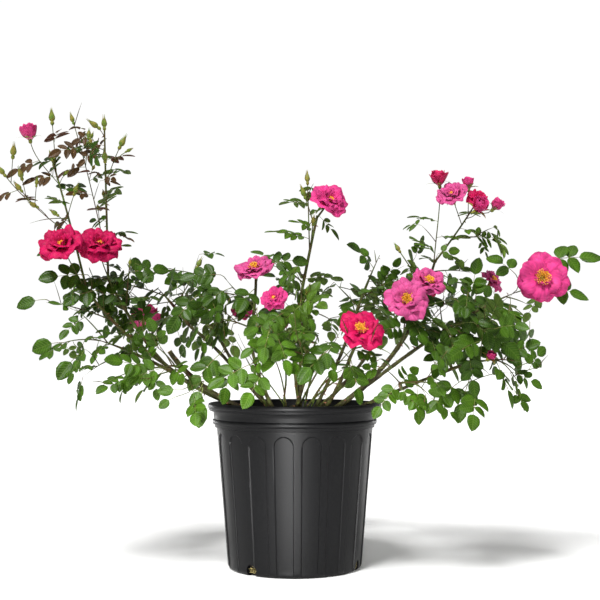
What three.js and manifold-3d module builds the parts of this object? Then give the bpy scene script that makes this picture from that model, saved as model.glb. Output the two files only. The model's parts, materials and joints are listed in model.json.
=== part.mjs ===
// A repeat-flowering rose bush, a few seasons old, in its ribbed black nursery pot.
// Millimetres, +Z up, origin at the middle of the pot's underside, -Y is the front.
//
// The pot, the potting mix, the woody crown and each cane are solids of their own. The top growth
// is a set of sprays, one solid each: shoots that branch from one stem, with leaves, buds and open
// blooms fused on. A leaf that would touch a cane or another spray isn't grown.

import * as THREE from 'three';
import { mergeVertices } from 'three/addons/utils/BufferGeometryUtils.js';
import Module from 'manifold-3d';

const wasm = await Module();
wasm.setup();
const { Manifold, Mesh: SolidMesh } = wasm;

// ---------------------------------------------------------------- driving dimensions

const CLEARANCE = 0.3; // gap kept between neighbouring solids
const FLATNESS = 0.05; // a point that lifts a face by less than this is left out

const POT = {
  height: 215,
  baseRadius: 88.5,
  footRadius: 82,
  cornerHeight: 7,
  shoulderRadius: 103,
  shoulderHeight: 183,
  beadRadius: 108.5,
  beadHeight: 191,
  collarRadius: 107,
  lipRadius: 114.5,
  lipUnderside: 205,
  mouthRadius: 110.5,
  wall: 2,
  segments: 36,
};

const FLUTE = {
  count: 18, // arched panels pressed into the wall
  firstBearing: 12.4, // degrees from the front to the middle of one panel
  halfWidth: 6.85, // degrees
  edge: 0.9, // degrees that the pressed edge takes
  depth: 1.1,
  spring: 164, // height where the straight sides end and the arch begins
  apex: 176.6,
  narrowest: 0.6, // degrees left between the sides at the apex
};

const DRAIN = {
  bearings: [-38.5, 67, 155, 247], // degrees from the front
  width: 12,
  height: 14,
  reach: 16, // across the wall
};

const SOIL = { level: 200, edgeDrop: 5, edge: 14, segments: 24 };

const CROWN = { radius: 13, height: 14, segments: 10, lumps: 3, lumpiness: 0.12 };

const CANE = {
  sides: 6,
  steps: 5,
  handle: 0.36, // length of the curve's handles, as a share of the cane's span
  flare: 0.35, // extra thickness at the foot
  flareLength: 0.12, // share of the cane that the flare fades over
  buried: 2, // how far its curve starts below the mix, in radii of its foot
  steepening: 8, // degrees added to its rise for that depth, so that a low cane isn't drawn far back
};

const SHOOT = {
  sides: 3,
  stretch: 50, // length of the straight stretches it is built from
  bends: [0.35, 0.7], // where its curve's handles lie, from its start to its tip
  stemRadius: 2.9, // at the foot of a spray's stem
  taper: 0.72, // a shoot's radius at its tip, as a share of that at its foot
  side: 0.48, // a side shoot's radius, as a share of its parent's where it leaves
  onward: 0.9, // the same for a shoot that carries its parent on
  onwardFrom: 0.98, // where such a shoot starts, so that it is rooted in its parent
  thinnest: 0.75,
  neck: 22, // the last stretch of a flower stalk, which turns to where the bloom faces
  neckShare: 0.4, // of the stalk, at most
};

const LEAF = {
  nodeSpacing: 30, // from leaf to leaf along a shoot
  turn: 144, // degrees round the shoot from one leaf to the next
  tries: [0, 72, -72, 144, -144], // further turns, for a leaf that has no room
  firstNode: 0.75, // of the spacing, from the shoot's foot
  rise: 38, // degrees from square to the shoot
  droop: 0.35,
  facesUp: 0.9, // pull of its upper side towards the sky, against the shoot's own line
  roll: 70, // degrees over which blades tilt about their stalks
  sizes: [0.85, 1.15],
  stalk: 15, // from the shoot to the pair of side leaflets
  endStalk: 6, // from that pair to the foot of the end leaflet
  leaflet: 40,
  width: 0.72, // of its length
  widest: 0.44, // where a leaflet is widest, from its foot
  thickness: 1.6, // at the middle of the leaf; its edges are sharp
  sag: 0.16, // how far a leaflet's tip hangs below its foot, as a share of its length
  pairAngle: 68, // degrees between the stalk and a side leaflet
  notch: 3.2, // from the middle to the notch between two leaflets
  stalkNotch: 132, // degrees from the end leaflet to the notch beside the stalk
};

// The profiles of the flower heads run from the stalk to the crest, as shares of radius and depth.
// Each sits on a calyx, which a negative height marks in millimetres.
const BLOOM = {
  segments: 10,
  depth: 0.36, // of its width
  profile: [[0, -3], [0.16, -3], [1, 0.6], [0.66, 0.62], [0.46, 1], [0.2, 0.72], [0, 0.8]],
  petals: 5, // in each ring
  scallop: 0.1,
  stalkEnd: 0.3, // petals show from here outwards
  ringEdge: 0.7, // from the inner ring to the outer one, whose petals stand between the others
};

const HALF_BLOOM = {
  segments: 6,
  depth: 0.8,
  profile: [[0, -3], [0.3, -3], [0.86, 0.4], [1, 0.85], [0.55, 1.05], [0, 0.9]],
};

const BUD = {
  segments: 5,
  length: 15,
  radius: 3,
  profile: [[0, -0.12], [0.6, -0.12], [1, 0.3], [0, 1]],
};

// ---------------------------------------------------------------- the plant's plan

// Each cane: where it leaves the mix, where its first spray begins, the angle at which it leaves
// and at which it ends, and its radius at both ends.
const CANES = {
  cane_left_lead: { foot: [-52, 4], tip: [-188, -20, 286], rise: 22, finish: 52, radii: [4.6, 3.4] },
  cane_left_cut: { foot: [-50, -22], tip: [-161, -48, 283], rise: 24, finish: 56, radii: [5, 4.4] },
  cane_left_mid: { foot: [-26, 12], tip: [-142, 22, 317], rise: 42, finish: 36, radii: [3.8, 2.8] },
  cane_left_back: { foot: [-28, 34], tip: [-104, 92, 296], rise: 40, finish: 55, radii: [4, 3] },
  cane_left_front: { foot: [-24, -28], tip: [-56, -40, 292], rise: 62, finish: 80, radii: [3.8, 2.8] },
  cane_centre: { foot: [8, -22], tip: [-2, -15, 300], rise: 80, finish: 88, radii: [4.2, 3.2] },
  cane_back: { foot: [6, 34], tip: [8, 96, 300], rise: 52, finish: 64, radii: [4.2, 3] },
  cane_front: { foot: [-2, -48], tip: [18, -92, 262], rise: 46, finish: 50, radii: [3.6, 2.6] },
  cane_right_lead: { foot: [42, -8], tip: [158, -12, 324], rise: 30, finish: 62, radii: [5.2, 3.8] },
  cane_right_mid: { foot: [24, 20], tip: [72, 28, 304], rise: 62, finish: 70, radii: [3.8, 2.8] },
  cane_right_far: { foot: [46, 20], tip: [212, 2, 318], rise: 34, finish: 30, radii: [4, 3] },
  cane_right_low: { foot: [58, -30], tip: [184, -62, 254], rise: 20, finish: 20, radii: [3.6, 2.6] },
  cane_right_back: { foot: [30, 44], tip: [116, 96, 300], rise: 42, finish: 56, radii: [4, 3] },
  cane_right_front: { foot: [34, -38], tip: [68, -78, 270], rise: 48, finish: 62, radii: [3.8, 2.8] },
};

const bloom = (width, bearing, elevation) => ({ kind: 'bloom', width, bearing, elevation });
const half = (width, bearing, elevation) => ({ kind: 'half', width, bearing, elevation });
const bud = { kind: 'bud' };

// Each spray: the cane that carries it, how far along that cane, the size of its leaves, how many
// seeded twigs fill it, and its leading shoots. A shoot gives the shoot it leaves and how far along
// that one, its tip, how far its middle bows up, and what it ends in. The first is the stem.
const SPRAYS = {
  spray_left_inner: {
    cane: 'cane_left_lead', along: 1, leaf: 0.72, twigs: 2,
    shoots: [
      { tip: [-247, -14, 380], bow: -6 },
      { from: 0, along: 1, tip: [-254, -6, 582], bow: 0, ends: bud },
      { from: 1, along: 0.1, tip: [-297, 0, 590], bow: 12, ends: bud },
      { from: 0, along: 0.82, tip: [-252, -38, 411], bow: -6, ends: bloom(58, 286, 34) },
      { from: 1, along: 0.62, tip: [-232, -8, 556], bow: 4, ends: bud },
      { from: 2, along: 0.68, tip: [-279, 14, 572], bow: 0, ends: bud },
      { from: 0, along: 0.55, tip: [-216, -26, 396], bow: 2, ends: bud },
    ],
  },
  spray_left_outer: {
    cane: 'cane_left_lead', along: 0.86, leaf: 0.78, twigs: 2,
    shoots: [
      { tip: [-272, -34, 364], bow: -12 },
      { from: 0, along: 1, tip: [-320, -22, 536], bow: 6, ends: bud },
      { from: 1, along: 0.8, tip: [-347, -30, 560], bow: -4, ends: half(26, 235, 68) },
      { from: 1, along: 0.88, tip: [-322, -14, 588], bow: 0, ends: bud },
      { from: 1, along: 0.42, tip: [-355, -46, 492], bow: -8, ends: bud },
      { from: 4, along: 0.6, tip: [-376, -50, 512], bow: -4, ends: bud },
      { from: 0, along: 0.9, tip: [-297, -62, 409], bow: -6, ends: bloom(61, 244, 36) },
      { from: 0, along: 0.62, tip: [-322, -38, 346], bow: 5 },
    ],
  },
  spray_left_low: {
    cane: 'cane_left_lead', along: 0.7, leaf: 0.8, twigs: 2,
    shoots: [
      { tip: [-262, -46, 300], bow: 6 },
      { from: 0, along: 0.55, tip: [-270, -58, 250], bow: 8 },
      { from: 0, along: 0.9, tip: [-312, -34, 290], bow: 6 },
      { from: 0, along: 0.3, tip: [-206, -76, 250], bow: 8 },
      { from: 0, along: 0.5, tip: [-232, 14, 322], bow: 4 },
    ],
  },
  spray_left_mid: {
    cane: 'cane_left_mid', along: 1, leaf: 1, twigs: 5,
    shoots: [
      { tip: [-186, 30, 368], bow: 2 },
      { from: 0, along: 0.5, tip: [-134, 54, 400], bow: -4, ends: bud },
      { from: 0, along: 0.9, tip: [-206, 14, 330], bow: 8 },
      { from: 0, along: 0.15, tip: [-112, -8, 366], bow: 4 },
    ],
  },
  spray_left_hang: {
    cane: 'cane_left_cut', along: 0.72, leaf: 0.9, twigs: 2,
    shoots: [
      { tip: [-164, -92, 262], bow: 10 },
      { from: 0, along: 0.4, tip: [-124, -98, 226], bow: 12 },
      { from: 0, along: 0.95, tip: [-218, -98, 232], bow: 10 },
      { from: 0, along: 0.6, tip: [-172, -118, 290], bow: 4 },
    ],
  },
  spray_left_back: {
    cane: 'cane_left_back', along: 1, leaf: 1, twigs: 3,
    shoots: [
      { tip: [-172, 132, 366], bow: 6, ends: bloom(56, 125, 50) },
      { from: 0, along: 0.5, tip: [-214, 96, 316], bow: 8 },
      { from: 0, along: 0.4, tip: [-112, 168, 320], bow: 10 },
      { from: 0, along: 0.7, tip: [-142, 88, 402], bow: 0 },
    ],
  },
  spray_left_front: {
    cane: 'cane_left_front', along: 1, leaf: 1, twigs: 5,
    shoots: [
      { tip: [-52, -24, 390], bow: 0, ends: bloom(53, 255, 52) },
      { from: 0, along: 0.3, tip: [-26, -68, 349], bow: -5, ends: bloom(37, 256, 36) },
      { from: 0, along: 0.2, tip: [-118, -70, 322], bow: 8 },
      { from: 0, along: 0.5, tip: [-92, -38, 380], bow: -4 },
      { from: 0, along: 0.35, tip: [-72, 40, 338], bow: 0, ends: bloom(40, 100, 40) },
    ],
  },
  spray_centre: {
    cane: 'cane_centre', along: 1, leaf: 0.86, twigs: 3,
    shoots: [
      { tip: [30, -15, 462], bow: 6 },
      { from: 0, along: 1, tip: [46, -20, 481], bow: 0, ends: bloom(50, 300, 40) },
      { from: 0, along: 0.7, tip: [17, -10, 504], bow: 4, ends: bud },
      { from: 0, along: 0.18, tip: [16, -48, 358], bow: -4, ends: bud },
      { from: 0, along: 0.45, tip: [-20, 16, 408], bow: -4 },
    ],
  },
  spray_front: {
    cane: 'cane_front', along: 1, leaf: 1, twigs: 5,
    shoots: [
      { tip: [28, -134, 300], bow: 4 },
      { from: 0, along: 0.3, tip: [-38, -126, 278], bow: 10 },
      { from: 0, along: 0.6, tip: [4, -150, 256], bow: 12 },
      { from: 0, along: 0.2, tip: [-8, -98, 322], bow: 2 },
    ],
  },
  spray_right_front: {
    cane: 'cane_right_front', along: 1, leaf: 1, twigs: 4,
    shoots: [
      { tip: [82, -98, 308], bow: 0, ends: bloom(60, 276, 40) },
      { from: 0, along: 0.4, tip: [122, -132, 276], bow: 10 },
      { from: 0, along: 0.2, tip: [66, -142, 252], bow: 10 },
    ],
  },
  spray_right_mid: {
    cane: 'cane_right_mid', along: 1, leaf: 0.95, twigs: 5,
    shoots: [
      { tip: [116, 40, 414], bow: 6 },
      { from: 0, along: 0.35, tip: [54, 56, 378], bow: 0 },
      { from: 0, along: 0.5, tip: [150, 12, 378], bow: 6 },
      { from: 0, along: 0.15, tip: [94, -22, 352], bow: 4 },
    ],
  },
  spray_right_lead: {
    cane: 'cane_right_lead', along: 0.8, leaf: 0.96, twigs: 4,
    shoots: [
      { tip: [146, -62, 322], bow: 0 },
      { from: 0, along: 0.95, tip: [140, -102, 346], bow: -4, ends: bloom(61, 262, 16) },
      { from: 0, along: 1, tip: [170, -70, 370], bow: -4, ends: bloom(49, 290, 44) },
      { from: 0, along: 0.6, tip: [202, -92, 316], bow: 8 },
    ],
  },
  spray_right_top: {
    cane: 'cane_right_lead', along: 1, leaf: 0.84, twigs: 2,
    shoots: [
      { tip: [188, 8, 404], bow: -4 },
      { from: 0, along: 1, tip: [234, 6, 474], bow: -4, ends: half(24, 310, 55) },
      { from: 1, along: 0.6, tip: [214, 4, 486], bow: 0, ends: bloom(46, 235, 36) },
      { from: 1, along: 0.8, tip: [258, 20, 474], bow: -2, ends: half(20, 340, 50) },
      { from: 0, along: 0.92, tip: [191, 15, 506], bow: 0, ends: half(20, 240, 74) },
      { from: 0, along: 0.5, tip: [142, 34, 420], bow: 0, ends: bud },
    ],
  },
  spray_right_far: {
    cane: 'cane_right_far', along: 1, leaf: 1.05, twigs: 2,
    shoots: [
      { tip: [296, -16, 362], bow: 4 },
      { from: 0, along: 0.95, tip: [322, -34, 378], bow: -4, ends: bloom(70, 268, 8) },
      { from: 0, along: 1, tip: [370, -14, 410], bow: 6 },
      { from: 0, along: 0.5, tip: [272, 58, 380], bow: 4, ends: bloom(38, 325, 36) },
      { from: 0, along: 0.7, tip: [300, -44, 306], bow: 8 },
      { from: 0, along: 0.35, tip: [236, 34, 402], bow: 2 },
    ],
  },
  spray_right_low: {
    cane: 'cane_right_low', along: 1, leaf: 1, twigs: 4,
    shoots: [
      { tip: [262, -64, 272], bow: 6 },
      { from: 0, along: 0.6, tip: [244, -84, 274], bow: 4, ends: half(14, 300, 40) },
      { from: 0, along: 0.35, tip: [226, -92, 232], bow: 10 },
      { from: 0, along: 0.95, tip: [306, -44, 262], bow: 8 },
      { from: 0, along: 0.85, tip: [286, -92, 246], bow: 10 },
      { from: 0, along: 0.2, tip: [202, -62, 312], bow: 0 },
    ],
  },
  spray_right_inner: {
    cane: 'cane_right_far', along: 0.74, leaf: 1.05, twigs: 3,
    shoots: [
      { tip: [226, -42, 326], bow: 2 },
      { from: 0, along: 0.6, tip: [214, -96, 296], bow: 8 },
      { from: 0, along: 0.95, tip: [276, -72, 312], bow: 8 },
      { from: 0, along: 0.5, tip: [190, -16, 352], bow: 0 },
    ],
  },
  spray_right_rim: {
    cane: 'cane_right_low', along: 0.66, leaf: 0.92, twigs: 2,
    shoots: [
      { tip: [128, -112, 240], bow: 8 },
      { from: 0, along: 0.6, tip: [168, -112, 226], bow: 10 },
    ],
  },
  spray_right_back: {
    cane: 'cane_right_back', along: 1, leaf: 1, twigs: 3,
    shoots: [
      { tip: [176, 128, 370], bow: 4, ends: bloom(54, 60, 52) },
      { from: 0, along: 0.5, tip: [216, 96, 320], bow: 8 },
      { from: 0, along: 0.5, tip: [122, 168, 322], bow: 8 },
      { from: 0, along: 0.75, tip: [168, 82, 406], bow: 0 },
    ],
  },
  spray_back: {
    cane: 'cane_back', along: 1, leaf: 1, twigs: 3,
    shoots: [
      { tip: [12, 148, 388], bow: 6, ends: bloom(54, 95, 55) },
      { from: 0, along: 0.45, tip: [66, 162, 318], bow: 8 },
      { from: 0, along: 0.4, tip: [-52, 158, 330], bow: 8 },
      { from: 0, along: 0.2, tip: [14, 182, 284], bow: 12 },
      { from: 0, along: 0.75, tip: [-24, 104, 404], bow: 0 },
    ],
  },
};

// Twigs: where along its carrier one leaves, its length, its elevation, and the fan of bearings
// that they share, centred on the way out from the middle of the bush.
const TWIG = { along: [0.3, 0.85], length: [50, 82], elevation: [-24, 46], fan: 170, bow: 4 };

// ---------------------------------------------------------------- colours and finishes

const finish = (color, roughness) => new THREE.MeshStandardMaterial({ color, roughness, metalness: 0 });

const FINISHES = {
  pot: finish('#2f2f30', 0.5),
  soil: finish('#3b2a1e', 0.95),
  crown: finish('#6b5238', 0.9),
  cane: finish('#5d6133', 0.7),
  spray: finish('#4f6529', 0.6),
};

// ---------------------------------------------------------------- small tools

const UP = new THREE.Vector3(0, 0, 1);
const vector = (x, y, z) => new THREE.Vector3(x, y, z);
const radians = THREE.MathUtils.degToRad;
const mix = THREE.MathUtils.lerp;

/** A repeatable number from 0 to 1 for three whole numbers. */
function noise(a, b, c) {
  const wave = Math.sin(a * 12.9898 + b * 78.233 + c * 37.719) * 43758.5453;
  return wave - Math.floor(wave);
}

/** The direction at a bearing (0 is +X, 90 is +Y) and an elevation, in degrees. */
function heading(bearing, elevation) {
  const flat = Math.cos(radians(elevation));
  return vector(
    flat * Math.cos(radians(bearing)),
    flat * Math.sin(radians(bearing)),
    Math.sin(radians(elevation)),
  );
}

/** A direction turned about an axis by an angle in degrees. */
function turned(direction, axis, degrees) {
  return direction.clone().applyAxisAngle(axis, radians(degrees));
}

/** The part of a direction that is square to an axis, at length 1. */
function squareTo(direction, axis) {
  return direction.clone().addScaledVector(axis, -direction.dot(axis)).normalize();
}

/** Merges shared vertices and turns a closed geometry into a solid. */
function solid(geometry) {
  geometry.deleteAttribute('normal');
  geometry.deleteAttribute('uv');
  const merged = mergeVertices(geometry, 1e-4);
  const corners = Array.from(merged.index.array);
  const faces = [];
  for (let i = 0; i < corners.length; i += 3) {
    const [a, b, c] = corners.slice(i, i + 3);
    if (a !== b && b !== c && c !== a) faces.push(a, b, c);
  }
  return new Manifold(new SolidMesh({
    numProp: 3,
    vertProperties: new Float32Array(merged.attributes.position.array),
    triVerts: new Uint32Array(faces),
  }));
}

/** The one main body of a solid: scraps and sealed hollows go, and flats lose needless points. */
function mainBody(body) {
  const pieces = body.simplify(FLATNESS).decompose();
  return pieces.reduce((best, piece) => (piece.volume() > best.volume() ? piece : best));
}

/** Moves every vertex of a geometry by a rule that returns its new place. */
function reshaped(geometry, rule) {
  const place = geometry.attributes.position;
  for (let i = 0; i < place.count; i += 1) {
    const moved = rule(vector().fromBufferAttribute(place, i));
    place.setXYZ(i, moved.x, moved.y, moved.z);
  }
  return geometry;
}

/** A solid of revolution about +Z from [radius, height] pairs that start and end on the axis. */
function turnedSolid(profile, segments, rule = (point) => point) {
  const points = profile.map(([radius, height]) => new THREE.Vector2(radius, height));
  const geometry = new THREE.LatheGeometry(points, segments);
  geometry.rotateX(Math.PI / 2);
  return solid(reshaped(geometry, rule));
}

/** A tapering limb with flat ends along a curve; radiusAt gives its radius from foot to tip. */
function limb(curve, radiusAt, sides, steps) {
  const rod = new THREE.CylinderGeometry(1, 1, 1, sides, steps);
  const frames = curve.computeFrenetFrames(steps, false);
  return solid(reshaped(rod, (point) => {
    const along = point.y + 0.5;
    const step = Math.round(along * steps);
    return curve.getPointAt(along)
      .addScaledVector(frames.normals[step], point.x * radiusAt(along))
      .addScaledVector(frames.binormals[step], -point.z * radiusAt(along));
  }));
}

/** The named mesh of a finished solid. */
function mesh(name, body, material) {
  const { vertProperties, triVerts } = body.getMesh();
  const geometry = new THREE.BufferGeometry();
  geometry.setAttribute('position', new THREE.BufferAttribute(vertProperties, 3));
  geometry.setIndex(new THREE.BufferAttribute(triVerts, 1));
  geometry.computeVertexNormals();
  const part = new THREE.Mesh(geometry, material);
  part.name = name;
  return part;
}

// ---------------------------------------------------------------- pot, mix and crown

/** Half the width in degrees of an arched panel at a height. */
function fluteHalfWidth(height) {
  if (height <= FLUTE.spring) return FLUTE.halfWidth;
  const rise = Math.min(1, (height - FLUTE.spring) / (FLUTE.apex - FLUTE.spring));
  return Math.max(FLUTE.narrowest, FLUTE.halfWidth * Math.sqrt(1 - rise * rise));
}

/** The wall's outer radius at a height below the collar. */
function wallRadius(height) {
  const rise = (height - POT.cornerHeight) / (POT.shoulderHeight - POT.cornerHeight);
  return mix(POT.baseRadius, POT.shoulderRadius, Math.max(0, rise));
}

/** The tapered wall with its arched panels: four columns of points to a panel. */
function flutedWall() {
  const pitch = 360 / FLUTE.count;
  const arch = [0, 0.7, 1].map((share) => mix(FLUTE.spring, FLUTE.apex, share));
  const heights = [POT.cornerHeight, ...arch, POT.shoulderHeight + 1];
  const profile = [
    [0, 0],
    [POT.footRadius, 0],
    ...heights.map((height) => [wallRadius(height), height]),
    [0, POT.shoulderHeight + 1],
  ];
  const sides = [-1, -1, 1, 1];
  return turnedSolid(profile, FLUTE.count * sides.length, (point) => {
    const radius = Math.hypot(point.x, point.y);
    if (radius < 1) return point;
    const fromFront = THREE.MathUtils.radToDeg(Math.atan2(point.x, -point.y));
    const column = Math.round(fromFront / (pitch / sides.length) + FLUTE.count * sides.length);
    const panel = Math.floor(column / sides.length);
    const place = column % sides.length;
    const pressed = place === 1 || place === 2;
    const inPanel = point.z >= POT.cornerHeight && point.z <= FLUTE.apex - 0.01;
    const reach = fluteHalfWidth(point.z) + (pressed ? 0 : FLUTE.edge);
    const angle = radians(FLUTE.firstBearing + panel * pitch + sides[place] * reach);
    const depth = pressed && inPanel ? FLUTE.depth : 0;
    return vector((radius - depth) * Math.sin(angle), -(radius - depth) * Math.cos(angle), point.z);
  });
}

/** The round collar above the wall: a bead, a plain band and the rolled lip. */
function collar() {
  const foot = POT.shoulderHeight;
  return turnedSolid([
    [0, foot],
    [POT.shoulderRadius + 2.5, foot],
    [POT.shoulderRadius + 3, POT.beadHeight - 3],
    [POT.beadRadius, POT.beadHeight],
    [POT.collarRadius - 0.5, POT.beadHeight + 4],
    [POT.collarRadius + 0.5, POT.lipUnderside - 1],
    [POT.lipRadius - 2, POT.lipUnderside],
    [POT.lipRadius, POT.lipUnderside + 2.5],
    [POT.lipRadius, POT.height - 2.5],
    [POT.lipRadius - 1.5, POT.height],
    [0, POT.height],
  ], POT.segments);
}

/** The inner radius of the wall below the collar: it clears the panels and the wall's flats. */
function innerRadius(height) {
  return wallRadius(height) - FLUTE.depth - POT.wall - 1;
}

/** The space inside the pot, open at the top. */
function potInside() {
  const shelf = POT.lipUnderside + POT.wall;
  return turnedSolid([
    [0, POT.wall],
    [POT.footRadius - POT.wall, POT.wall],
    [innerRadius(POT.cornerHeight), POT.cornerHeight],
    [innerRadius(POT.shoulderHeight), POT.shoulderHeight],
    [POT.collarRadius - POT.wall - 1, shelf - 1],
    [POT.mouthRadius, shelf],
    [POT.mouthRadius, POT.height + 5],
    [0, POT.height + 5],
  ], SOIL.segments);
}

/** A drain opening where the wall meets the floor, from the middle of the pot outwards. */
function drain(fromFront) {
  const block = new THREE.BoxGeometry(DRAIN.width, DRAIN.reach, DRAIN.height * 2);
  block.translate(0, -POT.baseRadius + POT.wall, 0);
  block.rotateZ(radians(fromFront));
  return solid(block);
}

function pot() {
  const shell = Manifold.union([flutedWall(), collar()]).subtract(potInside());
  return DRAIN.bearings.reduce((body, bearing) => body.subtract(drain(bearing)), shell);
}

/** The potting mix: it fills the pot up to its level and sinks a little towards the wall. */
function soil() {
  const inset = 2 * CLEARANCE;
  const top = innerRadius(POT.shoulderHeight) - inset;
  return turnedSolid([
    [0, POT.wall + CLEARANCE],
    [POT.footRadius - POT.wall - 3, POT.wall + CLEARANCE],
    [innerRadius(POT.cornerHeight) - inset, POT.cornerHeight + 1],
    [top, POT.shoulderHeight],
    [top, SOIL.level - SOIL.edgeDrop],
    [top - SOIL.edge, SOIL.level],
    [0, SOIL.level],
  ], SOIL.segments);
}

/** The knuckle of old wood that the canes stand round. */
function crown() {
  const foot = SOIL.level + CLEARANCE;
  const swell = [[0, 0], [0.92, 0], [1, 0.3], [0.8, 0.72], [0.42, 0.96], [0, 1]];
  const profile = swell.map(([out, up]) => [out * CROWN.radius, foot + up * CROWN.height]);
  return turnedSolid(profile, CROWN.segments, (point) => {
    const twist = point.z / CROWN.radius;
    const lump = 1 + CROWN.lumpiness * Math.sin(CROWN.lumps * Math.atan2(point.y, point.x) + twist);
    return vector(point.x * lump, point.y * lump, point.z);
  });
}

// ---------------------------------------------------------------- canes and shoots

/** A cane's curve, from below the mix to its tip. */
function canePath({ foot, tip, rise, finish: final, radii }) {
  const end = vector(...tip);
  const start = vector(foot[0], foot[1], SOIL.level);
  const bearing = THREE.MathUtils.radToDeg(Math.atan2(end.y - start.y, end.x - start.x));
  const away = heading(bearing, rise);
  const slope = Math.tan(radians(rise + CANE.steepening));
  start.addScaledVector(away, -CANE.buried * radii[0] / slope);
  const handle = start.distanceTo(end) * CANE.handle;
  return new THREE.CubicBezierCurve3(
    start,
    start.clone().addScaledVector(away, handle),
    end.clone().addScaledVector(heading(bearing, final), -handle),
    end,
  );
}

/** A cane as a solid, thicker all over by `margin`, cut flat just above the mix. */
function cane(plan, path, margin = 0) {
  const radiusAt = (along) => {
    const flare = 1 + CANE.flare * Math.exp(-along / CANE.flareLength);
    return mix(plan.radii[0], plan.radii[1], along) * flare + margin;
  };
  const body = limb(path, radiusAt, CANE.sides, CANE.steps);
  return body.trimByPlane([0, 0, 1], SOIL.level + CLEARANCE - margin);
}

/** The line of one shoot of a spray, from where it starts to its tip, in straight stretches. */
function shootPath(start, { tip, bow = 0, ends }) {
  const end = vector(...tip);
  const [first, second] = SHOOT.bends.map((share) => (
    start.clone().lerp(end, share).addScaledVector(UP, bow)
  ));
  if (ends && ends.kind !== 'bud') {
    const neck = Math.min(SHOOT.neck, start.distanceTo(end) * SHOOT.neckShare);
    second.copy(end).addScaledVector(heading(ends.bearing, ends.elevation), -neck);
  }
  const curve = new THREE.CubicBezierCurve3(start, first, second, end);
  const points = curve.getSpacedPoints(Math.max(1, Math.round(curve.getLength() / SHOOT.stretch)));
  const path = new THREE.CurvePath();
  points.slice(1).forEach((point, i) => path.add(new THREE.LineCurve3(points[i], point)));
  return path;
}

/** A shoot's radius as a function of how far along it is. */
function radiusAlong({ radius }) {
  return (along) => mix(radius, Math.max(SHOOT.thinnest, radius * SHOOT.taper), along);
}

/** The seeded twigs that fill a spray, each leaving one of its leading shoots. */
function seededTwigs(plan, leads, seed) {
  const twigs = [];
  for (let k = 0; k < plan.twigs; k += 1) {
    const from = k % leads.length;
    const along = mix(...TWIG.along, noise(seed, k, 1));
    const start = leads[from].path.getPointAt(along);
    const outward = THREE.MathUtils.radToDeg(Math.atan2(start.y, start.x));
    const bearing = outward + TWIG.fan * (noise(seed, k, 2) - 0.5);
    const elevation = mix(...TWIG.elevation, noise(seed, k, 3));
    const length = mix(...TWIG.length, noise(seed, k, 4));
    const tip = start.clone().addScaledVector(heading(bearing, elevation), length);
    twigs.push(branch(leads[from], { along, tip: tip.toArray(), bow: TWIG.bow }));
  }
  return twigs;
}

/** The stem of a spray: it starts clear of its cane's tip, or inside the cane's side. */
function stemOf({ cane: name, along, shoots: [plan] }, canePaths) {
  const start = canePaths[name].getPointAt(along);
  if (along === 1) start.addScaledVector(canePaths[name].getTangentAt(1), CLEARANCE);
  return { ...plan, path: shootPath(start, plan), radius: SHOOT.stemRadius };
}

/** A shoot that leaves its parent somewhere along it, or carries it on from its tip. */
function branch(parent, plan) {
  const onward = plan.along === 1;
  const along = onward ? SHOOT.onwardFrom : plan.along;
  const share = onward ? SHOOT.onward : SHOOT.side;
  const radius = Math.max(SHOOT.thinnest, share * radiusAlong(parent)(along));
  return { ...plan, path: shootPath(parent.path.getPointAt(along), plan), radius };
}

/** The leading shoots of a spray, the stem first. */
function leadingShoots(plan, canePaths) {
  const grown = [stemOf(plan, canePaths)];
  plan.shoots.slice(1).forEach((shoot) => grown.push(branch(grown[shoot.from], shoot)));
  return grown;
}

/** A shoot as a solid. */
function shootSolid(shoot) {
  return limb(shoot.path, radiusAlong(shoot), SHOOT.sides, shoot.path.curves.length);
}

// ---------------------------------------------------------------- leaves, buds and blooms

/** Puts a solid made about +Z at a place, with +Z turned to one direction and +X to another. */
function placed(body, place, axis, across) {
  const x = squareTo(across, axis);
  const y = axis.clone().cross(x);
  return body.transform([
    x.x, x.y, x.z, 0, y.x, y.y, y.z, 0, axis.x, axis.y, axis.z, 0, place.x, place.y, place.z, 1,
  ]);
}

/** The outline of a leaf of three leaflets, from the middle of its pair, with the stalk along -X. */
function leafOutline() {
  const { leaflet, width, widest, pairAngle, notch, stalk, endStalk, sag } = LEAF;
  const onLeaflet = (angle, along, across) => turned(vector(along, across, 0), UP, angle);
  const notchAt = (angle) => onLeaflet(angle, notch, 0);
  const lobe = (angle, foot) => {
    const middle = foot + widest * leaflet;
    const tip = onLeaflet(angle, foot + leaflet, 0);
    tip.z = -sag * leaflet;
    return [
      onLeaflet(angle, middle, -width * leaflet / 2),
      tip,
      onLeaflet(angle, middle, width * leaflet / 2),
    ];
  };
  return [
    vector(-stalk, 0, 0),
    notchAt(-LEAF.stalkNotch),
    ...lobe(-pairAngle, 0),
    notchAt(-pairAngle / 2),
    ...lobe(0, endStalk),
    notchAt(pairAngle / 2),
    ...lobe(pairAngle, 0),
    notchAt(LEAF.stalkNotch),
  ];
}

/** The frame of the leaf at one node: its foot, the line of its stalk and its blade's normal. */
function leafFrame(path, along, turn, roll) {
  const tangent = path.getTangentAt(along);
  const level = squareTo(Math.abs(tangent.z) > 0.9 ? vector(1, 0, 0) : UP, tangent);
  const radial = turned(level, tangent, turn);
  const axis = radial.multiplyScalar(Math.cos(radians(LEAF.rise)))
    .addScaledVector(tangent, Math.sin(radians(LEAF.rise)))
    .addScaledVector(UP, -LEAF.droop)
    .normalize();
  const facing = squareTo(tangent.clone().addScaledVector(UP, LEAF.facesUp), axis);
  return { foot: path.getPointAt(along), axis, normal: turned(facing, axis, roll) };
}

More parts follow.
